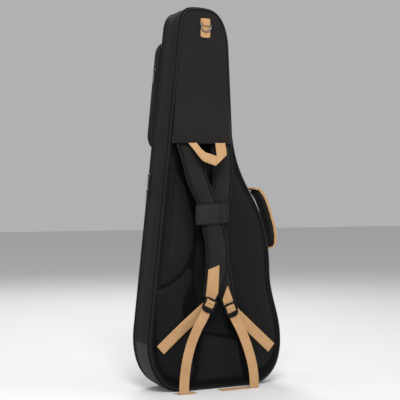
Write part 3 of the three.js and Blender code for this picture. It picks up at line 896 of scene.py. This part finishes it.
def upper_panel():
    """The plain upper panel: bulged over the straps, open along a double hem."""

    def rise(x, z, d):
        puff = (1.2 + 0.7 * ripples(x, z, 70, 8)) * ease(d, 0, 12) * (1 - ease(z, 930, 960))
        hem = 0.7 * (1 - ease(z, HEM_Z + 11, HEM_Z + 13))
        hem = hem + 0.5 * np.cos((x + 60) / 26) * (1 - ease(z, HEM_Z, HEM_Z + 60))
        return 2.2 + puff + hem_rise(x, z) + hem

    def below(x, z, d):
        return np.maximum(0.0, hem_rise(x, z) - 0.2)

    loop = smooth(loop_of("upper_back_panel", PAD_BASE), STEP, True)
    shape = Shape()
    panel(shape, loop, PAD_BASE, rise, 6.0, under=below)
    xs = np.arange(side_of(OUTLINE, HEM_Z, -1) + 10, side_of(OUTLINE, HEM_Z, 1) - 10, 4.0)
    for dz in (10.0, 12.6):
        z = np.full(len(xs), HEM_Z + dz)
        y = PAD_BASE - rise(xs, z, np.full(len(xs), dz))
        stitches(shape, np.stack([xs, y, z], axis=1), (0, -1, 0), look=1)
    piece("upper_panel", shape, "bag", [PANEL, THREAD], ["upper_back_panel"])


def pad_rise(high, shoulder, seam=None, line=None):
    """The puff of a sewn pad: round shoulder, slow crown, and grooves at depth seam and along a line."""

    def rise(x, z, d):
        up = high * (1 - np.exp(-d / shoulder)) + 1.3 * ease(d, 8, 70)
        if seam:
            up = up - 0.5 * high * np.exp(-((d - seam) / 2.6) ** 2)
        if line:
            up = up - 0.4 * high * np.exp(-(off_line(x, z, line) / 2.4) ** 2) * ease(d, 1, 6)
        return 0.6 + up + 0.7 * ripples(x, z, 42, 5) * ease(d, 4, 16)

    return rise


def off_line(x, z, line):
    """Distance of points to a straight line between two points in x and z."""
    a, b = np.array(line, float)
    way = b - a
    t = np.clip(((x - a[0]) * way[0] + (z - a[1]) * way[1]) / (way @ way), 0, 1)
    return np.hypot(x - a[0] - t * way[0], z - a[1] - t * way[1])


PATCH_SEAM = [(-116, 128), (-157, 46)]          # a seam across the lower left cushion, down to the corner
BAND = 17.0                                     # width of the plain cloth band round the mesh cushion
# Name, CAD node, height, radius of the shoulder, seam depth, seam line, materials and slot.
PADS = [
    ("lumbar_cushion", "lumbar_pad", 6.4, 4.0, BAND, None, [MESH, PAD], "pad_mesh"),
    ("lower_left_cushion", "lower_left_pad", 6.4, 5.0, None, PATCH_SEAM, [PAD], "panel_fabric"),
    ("right_cushion", "right_pad", 6.4, 5.5, None, None, [PAD], "panel_fabric"),
    ("bottom_cushion", "bottom_pad", 6.8, 5.0, None, None, [PAD], "panel_fabric"),
]
PATCH = [(-125, 634), (-125, 602), (-110, 595), (-97, 589), (-101, 612), (-107, 634)]
PATCH_EDGE = [(-126, PAD_BASE - 2.4, 600.5), (-110, PAD_BASE - 2.6, 593), (-96, PAD_BASE - 2.4, 587)]


def back_pads():
    """The padded panels on the back, each a sewn cushion between recessed channels."""
    for name, node, high, shoulder, seam, line, looks, slot in PADS:
        loop = smooth(loop_of(node, PAD_BASE), 4.5, True)
        shape = Shape()
        rise = pad_rise(high, shoulder, seam, line)
        look = (lambda x, z, d: 0 if d > BAND else 1) if seam else 0
        flat, depth = panel(shape, loop, PAD_BASE, rise, 4.5, look=look)
        pinned = depth < 2
        if seam:
            pinned |= np.abs(depth - seam) < 2.5
        if line:
            pinned |= off_line(flat[:, 0], flat[:, 1], line) < 2.5
        stitches(shape, shifted(loop, 2.6, PAD_BASE - 0.3), (0, -1, 0), look=len(looks))
        pinned = np.concatenate([pinned, np.full(len(shape.points) - len(flat), True)])
        piece(name, shape, "bag", looks + [THREAD], [node], air=(pinned, *PAD_AIR))
    # The spine channel takes the darker mesh, painted shade where the straps shade this recess.
    loop = smooth(loop_of("spine_panel", PAD_BASE), 5.0, True, 60)
    shape = Shape()
    panel(shape, loop, PAD_BASE, lambda x, z, d: 0.6 + 1.6 * ease(d, 0, 14), 5.0)
    piece("spine_channel", shape, "bag", [SHADED_SPINE_MESH], ["spine_panel"])
    shape = tape(Shape(), PATCH, lambda x, z: 0 * x + PAD_BASE - 1.6, 2.6, 4.0)
    sweep(shape, smooth(PATCH_EDGE, 4.0), (0, 1, 0), circle(1.1, 6), look=1)
    piece("shoulder_patch", shape, "bag", [PAD, EDGE])


# ---- straps
# Stations down each strap: x, y, z and the strap's width.
LEFT_STRAP = [(-80, -62, 712, 50), (-76, -66, 690, 58), (-72, -70, 668, 64), (-68, -76, 650, 65),
              (-63, -84, 622, 64), (-52, -91, 569, 60), (-27, -91, 516, 55), (-13, -91, 480, 55),
              (-5, -91, 440, 62), (4, -91, 400, 66), (7, -91, 355, 67), (1, -91, 302, 62),
              (-9, -89, 268, 50), (-14, -86, 250, 38)]
RIGHT_STRAP = [(28, -62, 712, 50), (29, -66, 690, 56), (30, -70, 668, 62), (31, -75, 600, 60),
               (28, -74.5, 530, 58), (17, -74.5, 480, 52), (16, -74.5, 430, 60), (18, -74.5, 370, 62),
               (27, -75, 325, 58), (38, -75.5, 283, 50), (46, -78, 238, 38)]
STRAP_TOP = (-20, -64, 672)    # two points carried in each strap's blend, which nothing reads
STRAP_FREE = (-20, -64, 610)
STRAP_THICK = 13.0
STRAP_BORDER = 9.5             # width of the darker band down each side of a strap


def strap_section(half, thick):
    """Borders, sewn grooves and a crowned middle, from the right edge to the left; then the back."""
    inner = half - STRAP_BORDER
    front = [(half, 0.0), (half - 0.6, 1.5), (half - 2.4, 2.7), (half - 5.5, 3.3), (inner + 1.2, 2.9),
             (inner, 2.2), (inner - 1.4, 3.4), (inner - 4.5, 5.2), (inner - 10, 6.1), (inner * 0.35, 6.5)]
    back = [(half * 0.4, -6.2), (half - 5, -5.2), (half - 0.6, -2.6)]
    whole = front + [(-s, o) for s, o in front[::-1]] + [(-s, o) for s, o in back[::-1]] + back
    scale = thick / STRAP_THICK
    return [(s, o * scale) for s, o in whole]


def strap_pad(name, node, body, stations):
    """A padded shoulder strap: crowned cloth down the middle, darker borders whose tone is partly painted
    shade, bound edges and stitching.
    """
    stations = np.array(stations, float)
    path = smooth(stations[:, :3], 6.0)
    width = smooth(np.stack([stations[:, 2], stations[:, 3]], axis=1), 6.0)
    half = np.interp(-path[:, 2], -width[:, 0], width[:, 1]) / 2
    thick = STRAP_THICK - 3.0 * ease(path[:, 2], 650, 700) - 4.0 * ease(-path[:, 2], -262, -242)
    waves = np.array([ripple(p, 34, 11) for p in path])
    section = np.array([strap_section(h, t + 0.6 * w) for h, t, w in zip(half, thick, waves)])
    shape = Shape()
    rows, columns = section.shape[:2]
    # The border columns take the darker cloth, partly painted shade where the strap's sides turn from the
    # light.
    sweep(shape, path, (1, 0, 0), section, look=lambda i, j: 1 if j < 5 or j > 13 else 0)
    _, across, out = ways(path, (1, 0, 0))
    for s in (-1, 1):
        sweep(shape, path + across * (half * s)[:, None], (1, 0, 0), circle(1.25, 8), look=2)
        inner = (half - STRAP_BORDER) * s
        seam = path + across * inner[:, None] + out * (2.6 * thick / STRAP_THICK)[:, None]
        stitches(shape, seam[2:-2], out[2:-2], look=3)
    row, column = np.divmod(np.arange(rows * columns), columns)
    free = (column > 5) & (column < 14) & (row > 1) & (row < rows - 2)
    pinned = np.concatenate([~free, np.full(len(shape.points) - len(free), True)])
    piece(name, shape, None, [STRAP, BORDER, EDGE, THREAD], [node],
          blend=("bag", body, STRAP_TOP, STRAP_FREE), air=(pinned, *STRAP_AIR))


# Middle of each buckle, and its lean in radians.
BUCKLES = {
    "left": (np.array([-16.5, -91.0, 236.5]), 0.46),
    "right": (np.array([50.0, -86.0, 220.0]), -0.33),
}
LIP = [(-18.8, -8), (-18.4, -14), (-16, -19.5), (-10, -23), (0, -24), (10, -23), (16, -19.5), (18.4, -14),
       (18.8, -8), (15, -8), (13.6, -9.8), (0, -10.4), (-13.6, -9.8), (-15, -8)]


def turned(origin, lean):
    """A function that turns a buckle's own x, y, z into the frame."""
    c, s = math.cos(lean), math.sin(lean)
    return lambda x, y, z: origin + np.array([c * x + s * z, y, -s * x + c * z])


def ladder_lock(name, node, body, origin, lean):
    """A moulded ladder-lock: two rails, top bar, toothed middle bar and a lifted lower lip."""
    place = turned(origin, lean)
    side = place(1, 0, 0) - origin
    up = place(0, 0, 1) - origin
    shape = Shape()
    for s in (-1, 1):
        bar(shape, place(16.9 * s, -1.8, 14), place(16.9 * s, -1.8, -13), side, 4.6, 5.4)
    bar(shape, place(-18.6, -2.0, 13.6), place(18.6, -2.0, 13.6), up, 4.4, 5.4)
    bar(shape, place(-17.5, 0.2, 0), place(17.5, 0.2, 0), up, 3.8, 2.2)
    bar(shape, place(-17.5, 0.6, -11.5), place(17.5, 0.6, -11.5), up, 3.6, 2.6)
    loop = smooth([place(x, 0, z)[[0, 2]] for x, z in LIP], 1.5, True)
    panel(shape, loop, origin[1] - 0.8, lambda x, z, d: 3.2 + 2.4 * (1 - np.exp(-d / 1.3)), 1.6)
    for x in np.linspace(-11, 11, 8):
        bar(shape, place(x, -6.2, -20.4), place(x, -6.2, -13.0), side, 1.2, 1.0)
    piece(name, shape, body, [PLASTIC], [node], crease=50)


# The webbing: free tails below the buckles, their folded ends on the floor (x from and to), the anchors
# down to the lower corners, and the outlines of the pieces sewn on the straps.
LEFT_TAIL = [(-31, -91, 208), (-55, -93, 170), (-80, -95, 111), (-91, -96, 60), (-95, -97, 20),
             (-95, -97.5, 2.2)]
RIGHT_TAIL = [(58.5, -86, 202), (80, -90, 162), (101, -93.5, 108), (115, -95.5, 54), (118, -97, 20),
              (118, -97.5, 2.2)]
FEET = {"left": (-110, -58), "right": (132, 18)}
LEFT_ANCHOR = [(-20, -86, 232), (-60, -75, 196), (-105, -69, 157), (-150, -66.2, 117)]
RIGHT_ANCHOR = [(54, -82, 218), (96, -73, 184), (142, -69, 144), (190, -66.2, 102)]
LEFT_SEWN = [(9, 341), (-24, 329), (-30, 262), (-27, 252), (-3, 243), (6.5, 264)]
RIGHT_SEWN = [(43.5, 281), (41.5, 281), (26.7, 246), (31.5, 229), (58.8, 238), (57, 246)]


def left_lay(x, z):
    """Depth of the webbing sewn along the left strap."""
    return np.interp(z, [236, 250, 268, 300], [-87.5, -92.6, -96.9, -98.9])


def right_lay(x, z):
    """Depth of the webbing sewn on the end of the right strap."""
    return np.interp(z, [224, 236, 252, 282], [-82.0, -84.8, -84.6, -83.4])


def turning(start, finish, low, high):
    """A width direction that turns from start to finish between two shares of the length."""
    start = np.array(start, float)
    return lambda t: start + (finish - start) * float(ease(t, low, high))


def box_stitch(shape, corner, along, across, length, width, out, look):
    """A sewn box with a cross in it."""
    corner = np.asarray(corner, float)
    long, wide = np.asarray(along) * length, np.asarray(across) * width
    p = [corner, corner + long, corner + long + wide, corner + wide]
    for a, b in ((0, 1), (1, 2), (2, 3), (3, 0), (0, 2), (1, 3)):
        stitches(shape, np.linspace(p[a], p[b], 4), out, 2.6, look, 0.4)


NARROW = 26.0                  # width of the webbing where it is squeezed in a buckle, and at its cut end
# The webbing's way through a buckle, in the buckle's own y and z: over the top, middle and lower bars.
THREADED = [(2.0, 13.4), (-0.6, 10.4), (-2.6, 6.5), (-2.8, 1.6), (-0.6, 0.3), (-2.8, -1.0), (-2.8, -6.0),
            (-1.0, -10.5), (0.6, -16)]


def webbings():
    """The tan webbing: sewn on the straps, threaded through the buckles as tails, and sewn at the foot."""
    looks = [TAN, TAN_THREAD]
    for side, tail, anchor, sewn, lay in (("left", LEFT_TAIL, LEFT_ANCHOR, LEFT_SEWN, left_lay),
                                          ("right", RIGHT_TAIL, RIGHT_ANCHOR, RIGHT_SEWN, right_lay)):
        body = f"{side}_strap"
        origin, lean = BUCKLES[side]
        place = turned(origin, lean)
        threaded = [place(0, y, z) for y, z in THREADED]
        shape = Shape()
        way = (1, 0, -0.35 if side == "left" else 0.33)
        ribbon(shape, [*threaded, *tail], turning(way, (1, 0, 0), 0.15, 0.9),
               lambda t: NARROW + 2.5 * float(ease(t, 0.08, 0.25)))
        x0, x1 = FEET[side]
        path, across, _ = ribbon(shape, [(x0, -86, 1.1), (x1, -85, 1.1)], (0, 1, 0), NARROW, slant=-12.0)
        for s in (-10, 10):
            row = path[-4:] + across[-4:] * s + np.array([0, 0, WEBBING_THICK / 2])
            stitches(shape, row, (0, 0, 1), 3.0, 1)
        piece(f"webbing_tail_{side}", shape, body, looks, [f"strap_tail_{side}"])

        shape = Shape()
        run = np.array(anchor[-1], float) - np.array(anchor[0], float)
        path, across, out = ribbon(shape, anchor, (-run[2], 0, run[0]))
        facing = -out[-1] * np.sign(out[-1][1])
        end = path[-1] + facing * WEBBING_THICK * 0.5
        back = unit(path[-4] - path[-1])
        box_stitch(shape, end + back * 3 - across[-1] * 12, back, across[-1], 22, 24, facing, 1)
        piece(f"webbing_anchor_{side}", shape, None, looks, [f"anchor_webbing_{side}"],
              blend=("bag", body, anchor[-1], anchor[0]))

        shape = tape(Shape(), sewn, lay)
        for line in ((sewn[1], sewn[2]), (sewn[-1], sewn[0])):
            tape_seam(shape, line, 2.6, lay, 1)
        piece(f"webbing_sewn_{side}", shape, body, looks, [f"strap_webbing_{side}"])
        ladder_lock(f"buckle_{side}", f"ladder_lock_{side}", body, origin, lean)


WRAP_SECTION = [(-56, -91), (-54.5, -96.5), (-48, -99.6), (-25, -100.6), (8, -100.2), (20, -98),
                (27, -91.5), (34, -86.5), (40, -84.5), (45.5, -81), (46.5, -75), (44, -68.5), (36, -66.4),
                (12, -66.2), (-12, -67.5), (-26, -76), (-40, -83), (-51, -84.2), (-55, -87)]
WRAP_LOW, WRAP_MIDDLE, WRAP_HIGH = 454.0, 480.0, 505.0
FLAP_END = 4                   # x where the sleeve's flap ends over its other end


def wrap_ring(grow, z):
    """The sleeve's section round both straps, stepped down over the right one and moved out by grow."""
    section = smooth(WRAP_SECTION, 3.5, True, 50.0)
    moved = section + outward(section) * grow
    return np.stack([moved[:, 0], moved[:, 1], z + 3.2 * moved[:, 0] / 50], axis=1)


def strap_wrap():
    """The padded sleeve that holds the straps together, with bound edges and an overlapped flap."""
    low, middle, high = WRAP_LOW, WRAP_MIDDLE, WRAP_HIGH
    shape = Shape()
    outside = [(-0.4, low), (0.4, low + 3), (1.1, low + 9), (1.6, middle), (1.1, high - 9), (0.4, high - 3)]
    lining = [(-0.4, high), (-2.6, high), (-2.2, middle), (-2.6, low)]
    rings = [wrap_ring(grow, z) for grow, z in outside + lining]
    loft(shape, rings, looped=True, look=lambda i, j: 3 if rings[0][j][0] > FLAP_END else 0)
    for z in (low, high):
        sweep_ring(shape, wrap_ring(-1.2, z), 2.1, 1)
    front = wrap_ring(2.4, 0.0)
    front = front[(front[:, 1] < -92) & (front[:, 0] > -54) & (front[:, 0] < FLAP_END)]
    front = front[np.argsort(front[:, 0])]
    front = np.vstack([front, [7.0, front[-1, 1] + 0.2, 0.5]])
    bulge = [(0.9, low + 1.2), (0.0, low + 4), (-0.8, middle), (0.0, high - 4), (0.9, high - 1.2)]
    flap = np.array([front + (0, out, z) for out, z in bulge])
    loft(shape, np.concatenate([flap, flap[::-1] + np.array([0, 2.2, 0])]), closed=False, looped=True)
    edge = smooth(flap[:, -1] + np.array([0, 0.7, 0]), 4.0)
    sweep(shape, edge, (0, 1, 0), circle(1.5, 8), look=1)
    stitches(shape, edge - np.array([3.6, 1.6, 0]), (0, -1, 0), look=2)
    looks = [WRAP, EDGE, THREAD, STRAP]
    piece("wrap_sleeve", shape, "left_strap", looks, ["strap_wrap"])


def sweep_ring(shape, ring, radius, look):
    """A round cord along a closed ring of points that goes once round Z."""
    tangent = unit(np.roll(ring, -1, axis=0) - np.roll(ring, 1, axis=0))
    out = unit(np.cross(tangent, np.array([0, 0, 1.0])))
    rings = [ring + out * s + np.array([0, 0, o]) for s, o in circle(radius, 8)]
    loft(shape, rings, looped=True, look=look)


# The grab loop's outer edge, and its inner edge back again, in x and z.
LOOP_OUTER = [(-82, 674), (-69, 650), (-55, 628.5), (-45, 618.5), (-10, 607.5), (26.5, 638), (29, 650),
              (33, 674)]
LOOP_INNER = [(4, 674), (-2, 650), (-4, 633.5), (-37, 643.5), (-46, 652), (-56, 674)]


def loop_lay(x, z):
    """Depth of the grab loop: it comes out from under the hem and hangs in front of the straps."""
    return np.interp(z, [606, 620, 635, 652, 664, 674], [-112.6, -112.2, -109.0, -100.5, -91.5, -85.0])


def haul_handle():
    """The webbing loop between the straps: a flat tape with a mitred fold at its lower right corner."""
    shape = tape(Shape(), LOOP_OUTER + LOOP_INNER, loop_lay, 2.2, 3.0)
    fold = [LOOP_INNER[2], LOOP_OUTER[4], LOOP_OUTER[5]]
    tape(shape, fold, lambda x, z: loop_lay(x, z) - 1.9, 1.6, 3.0)
    for line in (LOOP_OUTER[:5], LOOP_OUTER[5:], LOOP_INNER[:3], LOOP_INNER[2:]):
        tape_seam(shape, line, 3.0, loop_lay, 1, 2.4)
    piece("grab_loop", shape, "haul_handle", [TAN, TAN_THREAD], ["haul_handle"])


# The side handle's webbing, from its upper end to its lower end.
HANDLE = [(134, 0, 549), (156, 0, 550), (180, 0, 548), (195, 0, 531), (208, 0, 506), (220, 0, 472),
          (230, 0, 436), (233.5, 0, 411), (232.5, 0, 392), (220, 0, 378), (202, 0, 376)]


def side_handle():
    """The grab handle on the right: a wrapped grip inside a webbing strap, sewn down at both ends."""
    shape = Shape()
    points = [(124, 0, 541), *HANDLE, (190, 0, 370)]
    path, across, out = ribbon(shape, points, (0, 1, 0), 37.0, 2.2)
    flange = smooth([np.array(p) + (-2.6, 0, -1.8) for p in HANDLE[1:10]], 4.0)
    reach = np.linspace(0, 1, len(flange))
    taper = 0.25 + 0.75 * ease(reach, 0, 0.14) * (1 - ease(reach, 0.86, 1))
    turn_up = np.array(strip_section(8.0, 2.4)) * taper[:, None, None]
    for s in (-1, 1):
        sweep(shape, flange + np.array([0, 21.2 * s, 0]), (1, 0, 0.4), turn_up)
    facing = out * np.sign(((path - (150, 0, 440)) * out).sum(axis=1, keepdims=True))
    for s in (-15, 15):
        stitches(shape, path + across * s + facing * 1.15, facing, 3.2, 1)
    piece("handle_strap", shape, "side_handle", [TAN, TAN_THREAD], ["side_handle_webbing"])
    shape = Shape()
    grip = smooth([np.array(p) + (-9.5, 0, -6) for p in HANDLE[2:9]], 5.0)
    share = np.linspace(0, 1, len(grip))
    size = 0.72 + 0.28 * np.sqrt(np.clip(1 - (2 * share - 1) ** 8, 0, 1))
    oval = squircle(20, 0.0, 20.5, 8.5, 0.7, 0.8)
    sweep(shape, grip, (0, 1, 0), oval * size[:, None, None])
    for s in (-17.5, 17.5):
        sweep(shape, grip + np.array([0, s * 1.16, 0]), (0, 1, 0), circle(1.2, 6), look=1)
    piece("handle_grip", shape, "side_handle", [STRAP, EDGE], ["side_handle_grip"])
    for name, node, high, low in (("handle_patch_upper", "handle_anchor_upper", 587, 540),
                                  ("handle_patch_lower", "handle_anchor_lower", 378, 328)):
        shape = Shape()
        line = [(side_of(OUTLINE, z, 1) + 3.4, -8, z) for z in np.linspace(high, low, 9)]
        path, across, out = ribbon(shape, line, (0, 1, 0), 46.0, 1.8)
        facing = out[1] * np.sign(out[1, 0])
        run = path[-2] - path[1]
        box_stitch(shape, path[1] + facing - across[1] * 19, unit(run), across[1], np.linalg.norm(run), 38,
                   facing, 1)
        piece(name, shape, "bag", [STRAP, THREAD], [node])


RING_BAR_Z = 992.0             # height of the D-ring's straight bar, the ring's axis
RING_LOOP = [(-17, 0), (-17, -7), (-13, -14), (-6, -18), (0, -19), (6, -18), (13, -14), (17, -7), (17, 0)]
RING_SCALE = 0.85
RING_WIRE = 1.5                # radius


def d_ring():
    """The metal D-ring and the folded webbing tab that holds it."""
    low, high = box("d_ring_tab")
    middle = (low[0] + high[0]) / 2
    bar_z, y = RING_BAR_Z, box("d_ring")[1][1] - RING_WIRE
    ring = smooth([(middle + x * RING_SCALE, y, bar_z + z) for x, z in RING_LOOP], 2.0)
    half = 17 * RING_SCALE
    top = smooth([(middle + half, y, bar_z), (middle, y, bar_z), (middle - half, y, bar_z)], 2.0)[1:-1]
    ring = np.concatenate([ring, top])
    tangent = unit(np.roll(ring, -1, axis=0) - np.roll(ring, 1, axis=0))
    across = np.cross(tangent, np.array([0, 1.0, 0]))
    rings = [ring + across * s + np.array([0, o, 0]) for s, o in circle(RING_WIRE, 10)]
    wire = loft(Shape(), rings, looped=True)
    piece("ring", wire, "d_ring", [METAL], ["d_ring"], crease=60)
    shape = Shape()
    back = high[1]
    fold = [(middle, back - 0.6, low[2]), (middle, back - 0.8, 975), (middle, back - 1.2, 986),
            (middle, y - 2.4, bar_z - 1.5), (middle, y - 2.6, bar_z + 2.2), (middle, back - 2.4, 999),
            (middle, back - 1.0, high[2])]
    ribbon(shape, fold, (1, 0, 0), 22.0, 1.5, step=2.5)
    outer = [(middle, back - 0.5, low[2] + 2), (middle, back - 0.5, high[2] - 1)]
    ribbon(shape, outer, (1, 0, 0), 29.0, 1.2, step=3.0)
    for z0, tall in ((low[2] + 3, 12), (high[2] - 9, 7)):
        box_stitch(shape, (middle - 11.5, back - 1.7, z0), (0, 0, 1), (1, 0, 0), tall, 23, (0, -1, 0), 1)
    piece("ring_tab", shape, "bag", [TAN, TAN_THREAD], ["d_ring_tab"])


# ---- the lid and its pockets
def crown(high, shoulder, size, seed):
    """The soft crown of a padded panel, a little uneven."""
    return lambda x, z, d: (high * (1 - np.exp(-d / shoulder))
                            + 0.8 * ripples(x, z, size, seed) * ease(d, 2, 25))


# The lid's edge from the zipper to its front, and a pocket's wall from the lid to its face.
LID_SECTION = [(-4, LID_BACK), (-0.8, LID_BACK + 0.2), (0.5, 44.6), (1.4, 47), (1.6, 50), (1.0, 52.8),
               (-0.4, 54.3), (-2.2, 54.4), (-4.2, 53.9), (-6.5, 53.5), (-8.6, 54.4), (-11, LID_FRONT)]
POCKET_WALL = [(0.2, 0), (0.2, 0.06), (1.2, 0.16), (1.6, 0.5), (1.2, 0.8), (-0.2, 0.93), (-2.0, 0.965),
               (-4.0, 0.955), (-6.5, 0.95), (-9.0, 0.985)]


def front_lid():
    """The padded front lid."""
    shape = Shape()
    around(shape, OUTLINE, LID_SECTION)
    loop = OUTLINE + outward(OUTLINE) * -11
    panel(shape, loop, LID_FRONT, crown(2.2, 30, 80, 21), 7.0, facing=1, closed=False)
    back = OUTLINE + outward(OUTLINE) * -4
    panel(shape, back, LID_BACK, level, COARSE, facing=1, closed=False, look=1)
    piece("lid_panel", shape, "lid", [SHELL, LINING], ["front_panel"])


def pocket(name, node, puff):
    """A pocket that stands off the lid: bulged walls, corded front edge, crowned face and a zipped mouth."""
    low, high = box(node)
    loop = smooth(loop_of(node, high[1]), STEP, True)
    y0, y1 = low[1], high[1]
    deep = y1 - y0
    shape = Shape()
    around(shape, loop, [(d, y0 + deep * share) for d, share in POCKET_WALL])
    face = loop + outward(loop) * -9
    panel(shape, face, y0 + deep * 0.985, crown(puff, 28, 60, 31), 6.5, facing=1, closed=False)
    panel(shape, loop + outward(loop) * 0.2, y0, level, COARSE, facing=1, closed=False)
    round_cord(shape, loop, -3.2, y0 + deep * 0.975, 1.8, 8, 1)
    round_cord(shape, loop, 1.0, y0 + 0.6, 1.5, 8, 1)
    stitches(shape, shifted(loop, -7.2, y0 + deep * 0.955 + 0.5), (0, 1, 0), look=2)
    piece(f"{name}_bag", shape, "lid", [SHELL, BINDING, THREAD], [node])
    mouth_low, mouth_high = box(f"{node}_zipper")
    y = (mouth_low[1] + mouth_high[1]) / 2
    heights = np.arange(mouth_low[2], mouth_high[2], 3.0)
    line = np.array([(side_of(loop, z, -1), z) for z in heights[::-1]])
    shape = teeth(line, y, 1.8)
    half = [(1.0, -5), (2.0, -4.6), (2.1, -1.4), (1.4, -1.2)]
    section = [(d, y + dy) for d, dy in half + [(d, -dy) for d, dy in half[::-1]]]
    around(shape, smooth(line, 4), section, False, 1)
    piece(f"{name}_zip", shape, "lid", [TEETH, TAPE], [f"{node}_zipper"])


# ---- inside
# Each padded piece inside, its CAD node and its body.
INSIDE = [("cradle", "neck_cradle", "bag"), ("headstock_cushion", "headstock_pad", "bag"),
          ("foot_block", "bottom_block", "bag"), ("wear_panel", "bridge_guard", "lid")]
NOTCH = (-50, 16, -18.0)       # where the neck lies in its cradle: x from and to, and the depth of its bottom
BLOCK_ROWS = [(0.975, 0), (1, 0.1), (1.0, 0.85), (0.985, 0.94), (0.95, 1.0)]


def padded_block(shape, x0, x1, y0, y1, z0, z1):
    """A foam block with rounded edges and a soft front."""
    loop = smooth([(x0, z0), (x1, z0), (x1, z1), (x0, z1)], 4.0, True)
    middle = loop.mean(axis=0)
    rings = []
    for scale, share in BLOCK_ROWS:
        flat = middle + (loop - middle) * scale
        rings.append(np.stack([flat[:, 0], np.full(len(flat), y0 + (y1 - y0) * share), flat[:, 1]], axis=1))
    loft(shape, rings, caps=False)
    front, back = (middle + (loop - middle) * BLOCK_ROWS[i][0] for i in (-1, 0))
    panel(shape, front, y1, crown(1.2, 10, 30, 43), 6.0, facing=1, closed=False)
    panel(shape, back, y0, level, 12.0, facing=1, closed=False)


def inside_pieces():
    """What shows when the lid is open: the lining, the padded pieces and the neck strap."""
    low, high = box("back_lining")
    loop = smooth(loop_of("back_lining", high[1]), 10, True)
    shape = Shape()
    panel(shape, loop, low[1], crown(1.4, 12, 50, 41), 9.0, facing=1)
    piece("lining_sheet", shape, "bag", [LINING], ["back_lining"])
    for name, node, body in INSIDE:
        (x0, y0, z0), (x1, y1, z1) = box(node)
        parts = [(x0, x1, y1)]
        if node == "neck_cradle":
            parts = [(x0, NOTCH[0], y1), (NOTCH[1], x1, y1), NOTCH]
        shape = Shape()
        for left, right, top in parts:
            padded_block(shape, left, right, y0, top, z0, z1)
        piece(name, shape, body, [FOAM], [node])
    low, high = box("neck_strap")
    shape = Shape()
    _, y, z = (low + high) / 2
    line = [(low[0], y, z), ((low[0] + high[0]) / 2, y + 0.8, z), (high[0], y, z)]
    ribbon(shape, line, (0, 0, 1), high[2] - low[2], 1.8)
    piece("neck_strap_webbing", shape, "bag", [TAN], ["neck_strap"])


def metal_sliders():
    """The zip sliders and their pulls keep their CAD shape, with rounded edges."""
    for zipper in ("upper", "lower", "neck_pocket", "body_pocket"):
        keep_node(f"{zipper}_slider", METAL, 0.5)
        keep_node(f"{zipper}_pull", METAL, 0.4)


# ---------------------------------------------------------------- studio
FLOOR_SIZE = 12.0
FLOOR_GREY = 0.74
SKY = (0.97, 0.98, 1.0, 1)
SKY_STRENGTH = 0.45
# Each lamp's name, place, size and power.
LAMPS = [("key", (-0.9, -2.1, 2.9), 1.2, 86), ("fill", (2.2, -1.8, 1.2), 1.6, 20),
         ("rim", (0.6, 2.2, 2.4), 1.6, 40), ("left_side", (-2.4, 0.2, 1.4), 1.2, 11)]
CAMERA_AT = (-1.227, -2.461, 0.524)
CAMERA_TURN = (90 - 0.174, 0, -26.5)
LENS, SENSOR = 89.1, 36.0


def studio():
    """A pale floor, soft lights and the camera."""
    scene = bpy.context.scene
    floor = bpy.data.meshes.new("floor")
    corners = [(x * FLOOR_SIZE, y * FLOOR_SIZE, 0) for x, y in [(-1, -1), (1, -1), (1, 1), (-1, 1)]]
    floor.from_pydata(corners, [], [(0, 1, 2, 3)])
    ground = in_scene("floor", floor)
    pale = bpy.data.materials.new("floor_paint")
    pale.use_nodes = True
    paint = pale.node_tree.nodes["Principled BSDF"].inputs
    paint["Base Color"].default_value = (FLOOR_GREY, FLOOR_GREY, FLOOR_GREY, 1)
    paint["Roughness"].default_value = 0.7
    floor.materials.append(pale)
    scene.world = bpy.data.worlds.new("studio")
    scene.world.use_nodes = True
    sky = scene.world.node_tree.nodes["Background"].inputs
    sky["Color"].default_value = SKY
    sky["Strength"].default_value = SKY_STRENGTH
    for name, place, size, power in LAMPS:
        lamp = bpy.data.lights.new(name, "AREA")
        lamp.size = size
        lamp.energy = power
        stand = in_scene(name, lamp)
        stand.location = place
        aim = Vector((0, 0, 0.5)) - Vector(place)
        stand.rotation_euler = aim.to_track_quat("-Z", "Y").to_euler()
    lens = bpy.data.cameras.new("camera")
    lens.lens = LENS
    lens.sensor_width = SENSOR
    scene.camera = in_scene("camera", lens)
    scene.camera.location = CAMERA_AT
    scene.camera.rotation_euler = [math.radians(turn) for turn in CAMERA_TURN]
    scene.view_settings.view_transform = "Standard"


studio()
back_tray()
seam_ridge("gusset_seam_left", 540.0, -1)
pipings()
gusset_stitching()
main_zipper()
corner_guards()
upper_panel()
back_pads()
strap_pad("strap_left", "strap_pad_left", "left_strap", LEFT_STRAP)
strap_pad("strap_right", "strap_pad_right", "right_strap", RIGHT_STRAP)
webbings()
strap_wrap()
haul_handle()
side_handle()
d_ring()
front_lid()
pocket("neck_pocket", "neck_pocket", 3.5)
pocket("body_pocket", "body_pocket", 4.0)
inside_pieces()
metal_sliders()
